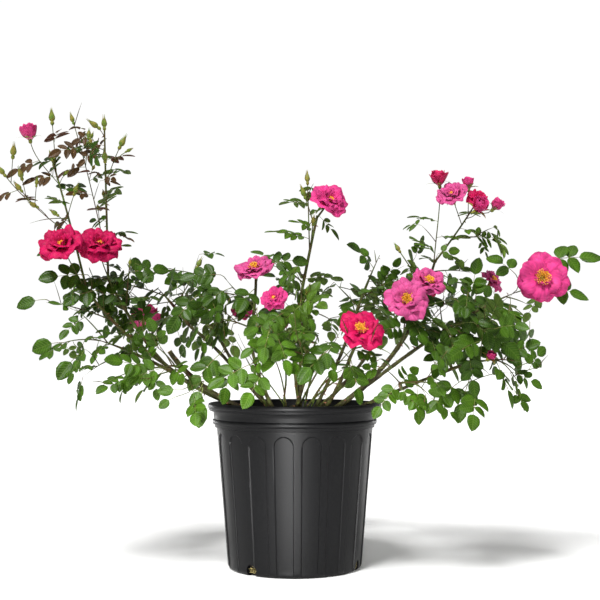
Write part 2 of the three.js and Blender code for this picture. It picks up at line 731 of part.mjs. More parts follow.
/** A leaf of three leaflets: a flat double pyramid over its outline. */
function leafSolid({ foot, axis, normal }, size) {
  const outline = leafOutline();
  const pitch = 2 * Math.PI / outline.length;
  const blade = turnedSolid([[0, -1], [1, 0], [0, 1]], outline.length, (point) => {
    if (Math.hypot(point.x, point.y) < 0.5) return vector(0, 0, point.z * LEAF.thickness / 2);
    const order = Math.round(Math.atan2(point.x, -point.y) / pitch);
    return outline.at(order % outline.length).clone();
  });
  const middle = foot.clone().addScaledVector(axis, LEAF.stalk * size);
  return placed(blade.scale(size), middle, normal, axis);
}

/** Grows the leaves of one shoot: at each node the first turn round the shoot that has room. */
function shootLeaves({ path, ends }, size, seed, order, hasRoom) {
  const nodes = Math.floor(path.getLength() / LEAF.nodeSpacing) - (ends ? 1 : 0);
  for (let k = 0; k < nodes; k += 1) {
    const along = (k + LEAF.firstNode) / (nodes + (ends ? 1 : 0));
    const turn = k * LEAF.turn + 360 * noise(seed, order, 0);
    const roll = LEAF.roll * (noise(seed, order, k + 1) - 0.5);
    const grown = size * mix(...LEAF.sizes, noise(seed, order, k + 50));
    LEAF.tries.some((shift) => {
      const frame = leafFrame(path, along, turn + shift, roll);
      return hasRoom(leafSolid(frame, grown));
    });
  }
}

/** The profile of an open or half-open head of a width, in millimetres. */
function headProfile({ profile, depth }, width) {
  return profile.map(([out, up]) => [out * width / 2, up < 0 ? up : up * width * depth]);
}

/** An open double bloom along +Z: outer petals as a scalloped dish, inner ones as a crest. */
function bloomSolid(width) {
  return turnedSolid(headProfile(BLOOM, width), BLOOM.segments, (point) => {
    const reach = Math.hypot(point.x, point.y) / (width / 2);
    if (reach < BLOOM.stalkEnd) return point;
    const side = reach > BLOOM.ringEdge ? 1 : -1;
    const out = 1 + side * BLOOM.scallop * Math.cos(BLOOM.petals * Math.atan2(point.y, point.x));
    return vector(point.x * out, point.y * out, point.z);
  });
}

/** A half-open bloom along +Z: a cup of furled petals on its calyx. */
function halfBloomSolid(width) {
  return turnedSolid(headProfile(HALF_BLOOM, width), HALF_BLOOM.segments);
}

/** A closed bud along +Z with its pointed sepals. */
function budSolid() {
  const profile = BUD.profile.map(([out, up]) => [out * BUD.radius, up * BUD.length]);
  return turnedSolid(profile, BUD.segments);
}

const HEAD_SEAM = vector(0.3, 0.2, 1); // the way that the first petal of every head is turned

/** What a shoot ends in, as a solid at its tip. */
function endSolid({ path, ends }) {
  const tip = path.getPointAt(1);
  if (ends.kind === 'bud') {
    return placed(budSolid(), tip, path.getTangentAt(1), HEAD_SEAM);
  }
  const facing = heading(ends.bearing, ends.elevation);
  const head = ends.kind === 'half' ? halfBloomSolid(ends.width) : bloomSolid(ends.width);
  return placed(head, tip, facing, HEAD_SEAM);
}

// ---------------------------------------------------------------- growing the sprays

/** True if two solids lie closer than the clearance. */
function touches(one, other) {
  const a = one.boundingBox();
  const b = other.boundingBox();
  const apart = [0, 1, 2].some((i) => a.min[i] > b.max[i] + CLEARANCE || b.min[i] > a.max[i] + CLEARANCE);
  return !apart && one.minGap(other, CLEARANCE * 2) < CLEARANCE;
}

/** True if a leaf only has its root in its shoot, which doesn't run through its blade. */
function isWhole(leaf, wood) {
  const blade = leaf.subtract(wood);
  return blade.genus() === 0 && blade.decompose().length === 1;
}

/** Grows all sprays: their leading shoots and flowers, then twigs and leaves where there is room. */
function growSprays(canePaths, caneSolids) {
  const sprays = Object.entries(SPRAYS).map(([name, plan], seed) => {
    const shoots = leadingShoots(plan, canePaths);
    const heads = shoots.filter((shoot) => shoot.ends).map(endSolid);
    return { name, plan, seed, shoots, pieces: [...shoots.map(shootSolid), ...heads] };
  });
  const fixed = [...Object.values(caneSolids), collar()];
  const isFree = (piece, carriers) => {
    const grown = sprays.flatMap((spray) => spray.pieces);
    return ![...fixed, ...grown].some((other) => !carriers.includes(other) && touches(piece, other));
  };
  sprays.forEach(({ plan, seed, shoots, pieces }) => {
    const leads = pieces.slice();
    seededTwigs(plan, shoots.slice(), seed).forEach((twig) => {
      const wood = shootSolid(twig);
      if (isFree(wood, leads)) {
        shoots.push(twig);
        pieces.splice(shoots.length - 1, 0, wood);
      }
    });
  });
  sprays.forEach(({ plan, seed, shoots, pieces }) => {
    shoots.forEach((shoot, order) => {
      shootLeaves(shoot, plan.leaf, seed, order, (leaf) => {
        const free = isFree(leaf, [pieces[order]]) && isWhole(leaf, pieces[order]);
        if (free) pieces.push(leaf);
        return free;
      });
    });
  });
  return sprays;
}

/** A whole spray as one solid, cut clear of the cane that carries it. */
function spraySolid({ plan, pieces }, canePaths) {
  const bough = cane(CANES[plan.cane], canePaths[plan.cane], CLEARANCE);
  return mainBody(Manifold.union(pieces).subtract(bough));
}

// ---------------------------------------------------------------- the whole plant

const bush = new THREE.Group();
bush.name = 'rose_bush_in_pot';

bush.add(mesh('pot', pot(), FINISHES.pot));
bush.add(mesh('soil', soil(), FINISHES.soil));
bush.add(mesh('crown', crown(), FINISHES.crown));

const canePaths = {};
const caneSolids = {};
Object.entries(CANES).forEach(([name, plan]) => {
  canePaths[name] = canePath(plan);
  caneSolids[name] = cane(plan, canePaths[name]);
  bush.add(mesh(name, caneSolids[name], FINISHES.cane));
});

growSprays(canePaths, caneSolids).forEach((spray) => {
  bush.add(mesh(spray.name, spraySolid(spray, canePaths), FINISHES.spray));
});

export default bush;
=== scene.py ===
"""A repeat-flowering rose bush in its ribbed nursery pot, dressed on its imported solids.

Canes rise from the mix and carry sprays. A spray's shoots branch from one stem, with leaves at a
fixed turn and flowers at their tips. The solids follow that rule with few, large leaves. Here it is
written again and carried on to finer twigs, compound leaves, single petals and stamens, within the
same reach. Lengths are in millimetres until a mesh is made, and in metres after that.
"""

import json
import logging
import math
from collections.abc import Callable, Iterable
from dataclasses import dataclass, field
from enum import Enum

import bpy
import numpy as np
from mathutils import Euler, Matrix, Vector, noise as fractal

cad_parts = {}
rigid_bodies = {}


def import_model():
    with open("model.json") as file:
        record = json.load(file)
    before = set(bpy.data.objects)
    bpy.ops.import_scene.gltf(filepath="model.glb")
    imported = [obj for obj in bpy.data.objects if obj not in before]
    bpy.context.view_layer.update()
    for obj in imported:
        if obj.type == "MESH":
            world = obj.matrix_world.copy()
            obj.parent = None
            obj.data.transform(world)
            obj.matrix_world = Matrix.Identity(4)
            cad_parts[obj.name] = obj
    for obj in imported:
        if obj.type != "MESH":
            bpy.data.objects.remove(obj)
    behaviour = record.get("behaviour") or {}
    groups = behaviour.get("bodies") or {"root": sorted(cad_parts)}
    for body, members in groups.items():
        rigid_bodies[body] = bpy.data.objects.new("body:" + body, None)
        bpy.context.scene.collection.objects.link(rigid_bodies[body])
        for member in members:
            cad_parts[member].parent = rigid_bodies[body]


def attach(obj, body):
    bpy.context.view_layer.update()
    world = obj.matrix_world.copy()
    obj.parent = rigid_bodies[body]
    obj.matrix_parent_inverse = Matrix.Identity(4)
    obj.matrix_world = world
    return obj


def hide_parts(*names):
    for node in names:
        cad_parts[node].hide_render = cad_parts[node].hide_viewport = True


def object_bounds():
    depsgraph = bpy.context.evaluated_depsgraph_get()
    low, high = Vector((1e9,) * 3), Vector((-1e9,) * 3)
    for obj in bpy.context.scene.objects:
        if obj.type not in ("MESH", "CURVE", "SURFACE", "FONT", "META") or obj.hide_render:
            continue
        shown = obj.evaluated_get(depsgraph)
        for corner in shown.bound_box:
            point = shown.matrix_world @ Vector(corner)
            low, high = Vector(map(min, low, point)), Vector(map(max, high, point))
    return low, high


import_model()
cad_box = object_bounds()

log = logging.getLogger("rose_bush")

MM = 0.001  # metres in a millimetre
UP = np.array([0.0, 0.0, 1.0])
FRONT = np.array([0.0, -1.0, 0.0])
ODD_WAY = np.array([0.31, 0.9, 0.3])  # a direction that no limb runs along
BODY = "root"

# ---------------------------------------------------------------- small tools


def vec(x: float, y: float, z: float) -> np.ndarray:
    """A point or direction."""
    return np.array([x, y, z], float)


def unit(direction: np.ndarray) -> np.ndarray:
    """A direction at length 1."""
    return direction / np.linalg.norm(direction)


def mix(low: float, high: float, share: float) -> float:
    """The value that lies a share of the way from low to high."""
    return low + (high - low) * share


def smooth(low: float, high: float, value: float) -> float:
    """A soft step from 0 at low to 1 at high."""
    share = min(1.0, max(0.0, (value - low) / (high - low)))
    return share * share * (3 - 2 * share)


def noise(a: float, b: float, c: float) -> float:
    """A repeatable number from 0 to 1 for three numbers, as in the part's source."""
    wave = math.sin(a * 12.9898 + b * 78.233 + c * 37.719) * 43758.5453
    return wave - math.floor(wave)


def heading(bearing: float, elevation: float) -> np.ndarray:
    """The direction at a bearing (0 is +X, 90 is +Y) and an elevation, in degrees."""
    around, up = math.radians(bearing), math.radians(elevation)
    return vec(math.cos(up) * math.cos(around), math.cos(up) * math.sin(around), math.sin(up))


def from_front(degrees: float) -> np.ndarray:
    """The level direction at an angle to the right of the front."""
    return heading(degrees - 90, 0)


def square_to(direction: np.ndarray, axis: np.ndarray) -> np.ndarray:
    """The part of a direction that is square to an axis, at length 1."""
    return unit(direction - axis * float(direction @ axis))


def turned(direction: np.ndarray, axis: np.ndarray, degrees: float) -> np.ndarray:
    """A direction turned about an axis."""
    return np.array(Matrix.Rotation(math.radians(degrees), 3, Vector(axis)) @ Vector(direction))


def frame_of(along: np.ndarray, facing: np.ndarray) -> np.ndarray:
    """The axes of a shape.

    Args:
        along: where its X runs.
        facing: where its Z faces, as nearly as its X allows.

    Returns:
        The three axes, as columns.
    """
    x = unit(along)
    z = square_to(facing, x)
    return np.column_stack([x, np.cross(z, x), z])


def axes_facing(facing: np.ndarray) -> np.ndarray:
    """The axes of a head that faces a direction, as columns."""
    return frame_of(square_to(vec(0.3, 0.2, 1), facing), facing)


def spin(turn: float) -> np.ndarray:
    """The axes turned about Z by an angle in radians, as columns."""
    return np.array(Matrix.Rotation(turn, 3, "Z"))


class Path:
    """A line through points, read by the share of its length."""

    def __init__(self, points: np.ndarray) -> None:
        """Keeps the points and the distance to each.

        Args:
            points: the line's corners, one to a row.
        """
        self.points = np.asarray(points, float)
        steps = np.linalg.norm(np.diff(self.points, axis=0), axis=1)
        self.reach = np.concatenate([[0.0], np.cumsum(steps)])

    @classmethod
    def bezier(cls, corners: list[np.ndarray], count: int = 24) -> "Path":
        """The cubic curve of four corners.

        Args:
            corners: start, two handles and end.
            count: how many stretches it is sampled into.

        Returns:
            The path.
        """
        t = np.linspace(0, 1, count + 1)[:, None]
        weights = [(1 - t) ** 3, 3 * t * (1 - t) ** 2, 3 * t * t * (1 - t), t**3]
        return cls(sum(w * corner for w, corner in zip(weights, corners)))

    @property
    def length(self) -> float:
        """Its whole length."""
        return float(self.reach[-1])

    def at(self, share: float) -> np.ndarray:
        """The point a share of the way along it."""
        place = share * self.length
        return np.array([np.interp(place, self.reach, self.points[:, i]) for i in range(3)])

    def tangent(self, share: float) -> np.ndarray:
        """Its direction a share of the way along it."""
        low, high = max(0.0, share - 0.01), min(1.0, share + 0.01)
        return unit(self.at(high) - self.at(low))


@dataclass
class Shape:
    """Corners in millimetres with a texture place each, and faces with a finish number each."""

    points: np.ndarray
    uv: np.ndarray
    faces: list[tuple[int, ...]]
    finishes: list[int]

    def placed(self, axes: np.ndarray, place: np.ndarray, size: float = 1.0) -> "Shape":
        """A copy turned to axes, scaled, and moved to a place."""
        return Shape(self.points @ (axes.T * size) + place, self.uv, self.faces, self.finishes)


@dataclass
class Piece:
    """Many small shapes of one kind, joined into one mesh."""

    name: str
    shapes: list[Shape] = field(default_factory=list)

    def add(self, *shapes: Shape) -> None:
        """Puts shapes into the piece."""
        self.shapes.extend(shapes)

    def build(self, materials: list[bpy.types.Material]) -> bpy.types.Object:
        """Makes the joined mesh.

        Args:
            materials: the finishes that the faces' numbers stand for.

        Returns:
            The object, at the origin, with its place in its mesh.
        """
        points = np.vstack([shape.points for shape in self.shapes]) * MM
        uv = np.vstack([shape.uv for shape in self.shapes])
        faces, finishes, start = [], [], 0
        for shape in self.shapes:
            faces.extend(tuple(corner + start for corner in face) for face in shape.faces)
            finishes.extend(shape.finishes)
            start += len(shape.points)
        data = bpy.data.meshes.new(self.name)
        data.from_pydata(points.tolist(), [], faces)
        data.polygons.foreach_set("material_index", finishes)
        data.polygons.foreach_set("use_smooth", [True] * len(faces))
        corners = np.zeros(len(data.loops), np.int32)
        data.loops.foreach_get("vertex_index", corners)
        data.uv_layers.new(name="UVMap").data.foreach_set("uv", uv[corners].ravel())
        made = bpy.data.objects.new(self.name, data)
        bpy.context.scene.collection.objects.link(made)
        for material in materials:
            data.materials.append(material)
        return made


def choose(*objects: bpy.types.Object) -> None:
    """Selects these objects only.

    Args:
        objects: what is selected, the last one active.
    """
    bpy.ops.object.select_all(action="DESELECT")
    for item in objects:
        item.select_set(True)
    bpy.context.view_layer.objects.active = objects[-1]


def modified(item: bpy.types.Object, kind: str, **settings: object) -> None:
    """Adds a modifier to an object and applies it.

    Args:
        item: the object.
        kind: the modifier's type.
        settings: its values by name.
    """
    choose(item)
    modifier = item.modifiers.new(kind.lower(), kind)
    for name, value in settings.items():
        setattr(modifier, name, value)
    bpy.ops.object.modifier_apply(modifier=modifier.name)


def thickened(item: bpy.types.Object, thickness: float) -> None:
    """Gives a sheet a thickness below it, whose underside has the next material."""
    modified(item, "SOLIDIFY", thickness=thickness * MM, offset=-1.0, material_offset=1)


def settle(item: bpy.types.Object, replaced: Iterable[str] = ()) -> None:
    """Puts a finished piece on the part's body, and hides the solids that it stands for.

    Args:
        item: the piece.
        replaced: the solids that it stands for.
    """
    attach(item, BODY)
    nodes = list(replaced)
    if nodes:
        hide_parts(*nodes)
    count = sum(len(face.vertices) - 2 for face in item.data.polygons)
    log.info("%s: %d triangles", item.name, count)


# ---------------------------------------------------------------- finishes


def linear(hex_colour: str) -> tuple[float, float, float, float]:
    """An sRGB hex colour as linear red, green, blue and alpha."""
    parts = [int(hex_colour[i : i + 2], 16) / 255 for i in (1, 3, 5)]
    return (*[c / 12.92 if c <= 0.04045 else ((c + 0.055) / 1.055) ** 2.4 for c in parts], 1.0)


def add_node(
    tree: bpy.types.NodeTree, kind: str, settings: dict | None = None, links: dict | None = None,
    stops: list[tuple[float, str]] | None = None,
) -> bpy.types.Node:
    """Adds one node to a material.

    Args:
        tree: the material's node tree.
        kind: the node's type, without the words ShaderNode in front.
        settings: values by attribute name, or by the name or number of an input.
        links: output sockets by the name or number of the input that they feed.
        stops: places and hex colours, where the node is a colour ramp.

    Returns:
        The node.
    """
    node = tree.nodes.new("ShaderNode" + kind)
    for name, value in (settings or {}).items():
        if isinstance(name, str) and hasattr(node, name):
            setattr(node, name, value)
        else:
            node.inputs[name].default_value = value
    for name, socket in (links or {}).items():
        tree.links.new(socket, node.inputs[name])
    for i, (place, colour) in enumerate(stops or []):
        ramp = node.color_ramp.elements
        stop = ramp[i] if i < 2 else ramp.new(place)
        stop.position = place
        stop.color = linear(colour)
    return node


@dataclass(frozen=True)
class Finish:
    """A finish on the general shader, to which each kind adds its pattern in `paint`."""

    name: str
    roughness: float = 0.5
    ior: float = 1.45
    specular: float = 0.5  # below one half for a skin duller than its IOR alone would make it

    def material(self) -> bpy.types.Material:
        """Makes the material.

        Returns:
            The material, with its pattern's nodes linked to the shader.
        """
        made = bpy.data.materials.new(self.name)
        made.use_nodes = True
        tree = made.node_tree
        shader = tree.nodes["Principled BSDF"]
        shader.inputs["Roughness"].default_value = self.roughness
        shader.inputs["IOR"].default_value = self.ior
        shader.inputs["Specular IOR Level"].default_value = self.specular
        self.paint(tree, shader)
        return made

    def paint(self, tree: bpy.types.NodeTree, shader: bpy.types.Node) -> None:
        """Adds the finish's own pattern; the plain one has none."""


def bumped(
    tree: bpy.types.NodeTree, shader: bpy.types.Node, height: bpy.types.NodeSocket, strength: float,
    depth_mm: float,
) -> None:
    """Lets a pattern lift a surface.

    Args:
        tree: the material's nodes.
        shader: the shader whose surface is lifted.
        height: the pattern.
        strength: how much of the lift shows.
        depth_mm: how high the pattern stands.
    """
    settings = {"Strength": strength, "Distance": depth_mm * MM}
    bump = add_node(tree, "Bump", settings, {"Height": height})
    tree.links.new(bump.outputs["Normal"], shader.inputs["Normal"])


@dataclass(frozen=True)
class MouldedPolypropylene(Finish):
    """Injection-moulded black polypropylene: a satin skin, greyed by dust and fine scuffs."""

    base: str = "#060607"
    dust: str = "#0e0e0f"
    dust_size: float = 2.6  # millimetres across a dusty patch
    scuff_size: float = 0.9  # and from one scuff to the next
    duller: float = 0.1  # how much rougher the skin is under dust
    cleaner: float = 0.07  # and how much smoother where it is clean

    def paint(self, tree: bpy.types.NodeTree, shader: bpy.types.Node) -> None:
        """Dust clouds in the colour and the sheen, and fine scuffs in the relief.

        Args:
            tree: the material's nodes.
            shader: the shader that they feed.
        """
        place = add_node(tree, "TexCoord").outputs["Object"]
        clouds = add_node(
            tree, "TexNoise",
            {"Scale": 1 / (self.dust_size * MM), "Detail": 6.0, "Roughness": 0.62},
            {"Vector": place},
        )
        scuffs = add_node(
            tree, "TexNoise", {"Scale": 1 / (self.scuff_size * MM), "Detail": 4.0},
            {"Vector": place},
        )
        colour = add_node(
            tree, "ValToRGB", links={"Fac": clouds.outputs["Fac"]},
            stops=[(0.42, self.base), (0.72, self.dust)],
        )
        sheen = add_node(
            tree, "MapRange",
            {"To Min": self.roughness - self.cleaner, "To Max": self.roughness + self.duller},
            {"Value": clouds.outputs["Fac"]},
        )
        tree.links.new(colour.outputs["Color"], shader.inputs["Base Color"])
        tree.links.new(sheen.outputs["Result"], shader.inputs["Roughness"])
        bumped(tree, shader, scuffs.outputs["Fac"], strength=0.2, depth_mm=0.06)


@dataclass(frozen=True)
class Bark(Finish):
    """Rose bark or young rind: patches of brown, olive and green over fine cracks."""

    dark: str = "#3f3022"
    mid: str = "#6b5a37"
    light: str = "#8d8a52"
    patch_size: float = 9.0  # millimetres across a patch of one tone
    relief: float = 0.35  # millimetres
    cracks: float = 7.0  # in the width of a patch

    def paint(self, tree: bpy.types.NodeTree, shader: bpy.types.Node) -> None:
        """Patches of tone in the colour, and fine cracks in the bump.

        Args:
            tree: the material's nodes.
            shader: the shader that they feed.
        """
        place = add_node(tree, "TexCoord").outputs["Object"]
        patches = add_node(
            tree, "TexNoise",
            {"Scale": 1 / (self.patch_size * MM), "Detail": 5.0, "Roughness": 0.7},
            {"Vector": place},
        )
        cracks = add_node(
            tree, "TexNoise", {"Scale": self.cracks / (self.patch_size * MM), "Detail": 3.0},
            {"Vector": place},
        )
        colour = add_node(
            tree, "ValToRGB", links={"Fac": patches.outputs["Fac"]},
            stops=[(0.34, self.dark), (0.7, self.light), (0.52, self.mid)],
        )
        tree.links.new(colour.outputs["Color"], shader.inputs["Base Color"])
        bumped(tree, shader, cracks.outputs["Fac"], strength=0.6, depth_mm=self.relief)


@dataclass(frozen=True)
class LeafBlade(Finish):
    """A rose leaflet's skin: a waxy upper side with sunken veins, or the paler, duller underside."""

    base: str = "#3d5a24"
    vein: str = "#6f8a4a"
    veins: float = 7.0  # pairs of side veins
    vein_slant: float = 0.55
    vein_share: float = 0.2  # how far the veins' colour covers the blade's
    mottle_size: float = 14.0  # millimetres across a patch of one tone

    def paint(self, tree: bpy.types.NodeTree, shader: bpy.types.Node) -> None:
        """Side veins that slant from the midrib, drawn along the leaflet's own texture places.

        Args:
            tree: the material's nodes.
            shader: the shader that they feed.
        """
        place = add_node(tree, "TexCoord")
        parts = add_node(tree, "SeparateXYZ", links={0: place.outputs["UV"]})
        aside = add_node(tree, "Math", {"operation": "SUBTRACT", 1: 0.5}, {0: parts.outputs["Y"]})
        off_rib = add_node(tree, "Math", {"operation": "ABSOLUTE"}, {0: aside.outputs[0]})
        slant = add_node(
            tree, "Math", {"operation": "MULTIPLY_ADD", 1: -self.vein_slant},
            {0: off_rib.outputs[0], 2: parts.outputs["X"]},
        )
        turns = add_node(
            tree, "Math", {"operation": "MULTIPLY", 1: self.veins * 2 * math.pi},
            {0: slant.outputs[0]},
        )
        wave = add_node(tree, "Math", {"operation": "COSINE"}, {0: turns.outputs[0]})
        side_veins = add_node(
            tree, "MapRange",
            {"interpolation_type": "SMOOTHSTEP", "From Min": 0.55, "From Max": 1.0},
            {"Value": wave.outputs[0]},
        )
        midrib = add_node(
            tree, "MapRange",
            {"interpolation_type": "SMOOTHSTEP", "From Min": 0.05, "From Max": 0.0},
            {"Value": off_rib.outputs[0]},
        )
        veins = add_node(
            tree, "Math", {"operation": "MAXIMUM"},
            {0: side_veins.outputs["Result"], 1: midrib.outputs["Result"]},
        )
        mottle = add_node(
            tree, "TexNoise", {"Scale": 1 / (self.mottle_size * MM), "Detail": 3.0},
            {"Vector": place.outputs["Object"]},
        )
        tone = add_node(
            tree, "MapRange", {"From Min": 0.3, "From Max": 0.7, "To Min": 0.62, "To Max": 1.4},
            {"Value": mottle.outputs["Fac"]},
        )
        tinted = add_node(
            tree, "HueSaturation", {"Color": linear(self.base)}, {"Value": tone.outputs["Result"]},
        )
        share = add_node(
            tree, "Math", {"operation": "MULTIPLY", 1: self.vein_share}, {0: veins.outputs[0]},
        )
        colour = add_node(
            tree, "Mix", {"data_type": "RGBA", 7: linear(self.vein)},
            {0: share.outputs[0], 6: tinted.outputs["Color"]},
        )
        tree.links.new(colour.outputs[2], shader.inputs["Base Color"])
        turned_over = {"operation": "MULTIPLY", 1: -1.0}
        sunk = add_node(tree, "Math", turned_over, {0: veins.outputs[0]})
        bumped(tree, shader, sunk.outputs[0], strength=0.4, depth_mm=0.25)


@dataclass(frozen=True)
class PetalSkin(Finish):
    """A rose petal: soft and velvety, deeper towards its rim and paler at its claw."""

    claw: str = "#f0a0bc"
    body: str = "#d84a80"
    rim: str = "#c93468"
    veins_across: float = 44.0  # in the width of four petals, which share one texture's height
    cloud_size: float = 11.0  # millimetres across a patch of one tone

    def paint(self, tree: bpy.types.NodeTree, shader: bpy.types.Node) -> None:
        """The tone along the petal, with fine veins from claw to rim and broad soft clouds.

        Args:
            tree: the material's nodes.
            shader: the shader that they feed.
        """
        place = add_node(tree, "TexCoord")
        parts = add_node(tree, "SeparateXYZ", links={0: place.outputs["UV"]})
        tone = add_node(
            tree, "ValToRGB", links={"Fac": parts.outputs["X"]},
            stops=[(0.04, self.claw), (1.0, self.rim), (0.26, self.body)],
        )
        drawn_out = add_node(
            tree, "Mapping", {"Scale": (1.6, self.veins_across, 1.0)},
            {"Vector": place.outputs["UV"]},
        )
        veins = add_node(
            tree, "TexNoise", {"Scale": 1.0, "Detail": 3.0, "Roughness": 0.6},
            {"Vector": drawn_out.outputs["Vector"]},
        )
        clouds = add_node(
            tree, "TexNoise", {"Scale": 1 / (self.cloud_size * MM), "Detail": 1.0},
            {"Vector": place.outputs["Object"]},
        )
        both = add_node(
            tree, "Math", {"operation": "ADD"}, {0: veins.outputs["Fac"], 1: clouds.outputs["Fac"]},
        )
        shade = add_node(
            tree, "MapRange", {"From Min": 0.7, "From Max": 1.3, "To Min": 0.6, "To Max": 1.3},
            {"Value": both.outputs[0]},
        )
        colour = add_node(
            tree, "HueSaturation",
            links={"Color": tone.outputs["Color"], "Value": shade.outputs["Result"]},
        )
        tree.links.new(colour.outputs["Color"], shader.inputs["Base Color"])
        bumped(tree, shader, veins.outputs["Fac"], strength=0.12, depth_mm=0.25)
        shader.inputs["Subsurface Weight"].default_value = 0.1
        shader.inputs["Subsurface Radius"].default_value = (0.004, 0.0015, 0.0015)
        shader.inputs["Subsurface Scale"].default_value = 0.4


@dataclass(frozen=True)
class Speckled(Finish):
    """Matter of two close tones, such as anthers, sepals, crumbs of peat and bark chips."""

    low: str = "#2c2018"
    high: str = "#5a4330"
    grain: float = 4.0  # millimetres across a speck
    relief: float = 0.4  # millimetres

    def paint(self, tree: bpy.types.NodeTree, shader: bpy.types.Node) -> None:
        """Specks of the two tones, raised a little.

        Args:
            tree: the material's nodes.
            shader: the shader that they feed.
        """
        place = add_node(tree, "TexCoord").outputs["Object"]
        specks = add_node(
            tree, "TexNoise", {"Scale": 1 / (self.grain * MM), "Detail": 4.0}, {"Vector": place},
        )
        colour = add_node(
            tree, "ValToRGB", links={"Fac": specks.outputs["Fac"]},
            stops=[(0.35, self.low), (0.65, self.high)],
        )
        tree.links.new(colour.outputs["Color"], shader.inputs["Base Color"])
        bumped(tree, shader, specks.outputs["Fac"], strength=0.5, depth_mm=self.relief)


# ---------------------------------------------------------------- the plant's plan


class HeadKind(Enum):
    """What a shoot ends in."""

    BLOOM = "bloom"
    HALF = "half"
    BUD = "bud"


class PetalTint(Enum):
    """The colour that a bloom opens in; older ones fade towards mauve."""

    CRIMSON = "crimson"
    PINK = "pink"
    MAUVE = "mauve"


class Fullness(Enum):
    """How many whorls of petals a bloom has."""

    SINGLE = "single"
    HALF_DOUBLE = "half_double"
    DOUBLE = "double"


class LeafTint(Enum):
    """How old a spray's leaves are, which sets their colour."""

    DEEP = "deep"
    GREEN = "green"
    FRESH = "fresh"
    BRONZE = "bronze"


@dataclass(frozen=True)
class Head:
    """A bud or bloom: its width, where it faces, and its colour."""

    kind: HeadKind
    width: float = 9.0
    bearing: float = 0.0
    elevation: float = 90.0
    tint: PetalTint = PetalTint.PINK
    fullness: Fullness = Fullness.HALF_DOUBLE


@dataclass(frozen=True)
class ShootPlan:
    """A shoot: its tip, the shoot it leaves and how far along that, its bow, and its head."""

    tip: tuple[float, float, float]
    parent: int = 0
    along: float = 1.0
    bow: float = 0.0
    head: Head | None = None


@dataclass(frozen=True)
class LeafPlan:
    """A leaf that shows by itself: the shoot that it leaves, its foot, its way, and its size."""

    parent: int
    along: float
    foot: tuple[float, float, float]
    bearing: float
    elevation: float
    leaflets: int = 5
    size: float = 1.0


@dataclass(frozen=True)
class CanePlan:
    """A cane: where it leaves the mix, its tip, its angles at both ends, and its radii."""

    foot: tuple[float, float]
    tip: tuple[float, float, float]
    rise: float
    finish: float
    radii: tuple[float, float]


@dataclass(frozen=True)
class SprayPlan:
    """A spray: its cane, how far along that, its leaves, and its leading shoots."""

    cane: str
    along: float
    leaf: float
    twigs: int
    tint: LeafTint
    bare: float  # the share of its leaves that are missing
    shoots: tuple[ShootPlan, ...]
    leaves: tuple[LeafPlan, ...] = ()


def bloom(
    width: float, bearing: float, elevation: float, tint: PetalTint = PetalTint.PINK,
    fullness: Fullness = Fullness.HALF_DOUBLE,
) -> Head:
    """An open bloom."""
    return Head(HeadKind.BLOOM, width, bearing, elevation, tint, fullness)


def half(width: float, bearing: float, elevation: float, tint: PetalTint = PetalTint.PINK) -> Head:
    """A half-open bloom."""
    return Head(HeadKind.HALF, width, bearing, elevation, tint)


def leading(
    parent: int, along: float, tip: tuple, bow: float = 0.0, head: Head | None = None
) -> ShootPlan:
    """A leading shoot that leaves another."""
    return ShootPlan(tip, parent, along, bow, head)


def stem(tip: tuple, bow: float = 0.0, head: Head | None = None) -> ShootPlan:
    """The stem of a spray."""
    return ShootPlan(tip, 0, 0.0, bow, head)


BUD = Head(HeadKind.BUD)
CRIMSON, PINK, MAUVE = PetalTint.CRIMSON, PetalTint.PINK, PetalTint.MAUVE
SINGLE, DOUBLE = Fullness.SINGLE, Fullness.DOUBLE

CANES = {
    "cane_left_lead": CanePlan((-52, 4), (-188, -20, 286), 22, 52, (4.6, 3.4)),
    "cane_left_cut": CanePlan((-50, -22), (-161, -48, 283), 24, 56, (5, 4.4)),
    "cane_left_mid": CanePlan((-26, 12), (-142, 22, 317), 42, 36, (3.8, 2.8)),
    "cane_left_back": CanePlan((-28, 34), (-104, 92, 296), 40, 55, (4, 3)),
    "cane_left_front": CanePlan((-24, -28), (-56, -40, 292), 62, 80, (3.8, 2.8)),
    "cane_centre": CanePlan((8, -22), (-2, -15, 300), 80, 88, (4.2, 3.2)),
    "cane_back": CanePlan((6, 34), (8, 96, 300), 52, 64, (4.2, 3)),
    "cane_front": CanePlan((-2, -48), (18, -92, 262), 46, 50, (3.6, 2.6)),
    "cane_right_lead": CanePlan((42, -8), (158, -12, 324), 30, 62, (5.2, 3.8)),
    "cane_right_mid": CanePlan((24, 20), (72, 28, 304), 62, 70, (3.8, 2.8)),
    "cane_right_far": CanePlan((46, 20), (212, 2, 318), 34, 30, (4, 3)),
    "cane_right_low": CanePlan((58, -30), (184, -62, 254), 20, 20, (3.6, 2.6)),
    "cane_right_back": CanePlan((30, 44), (116, 96, 300), 42, 56, (4, 3)),
    "cane_right_front": CanePlan((34, -38), (68, -78, 270), 48, 62, (3.8, 2.8)),
}

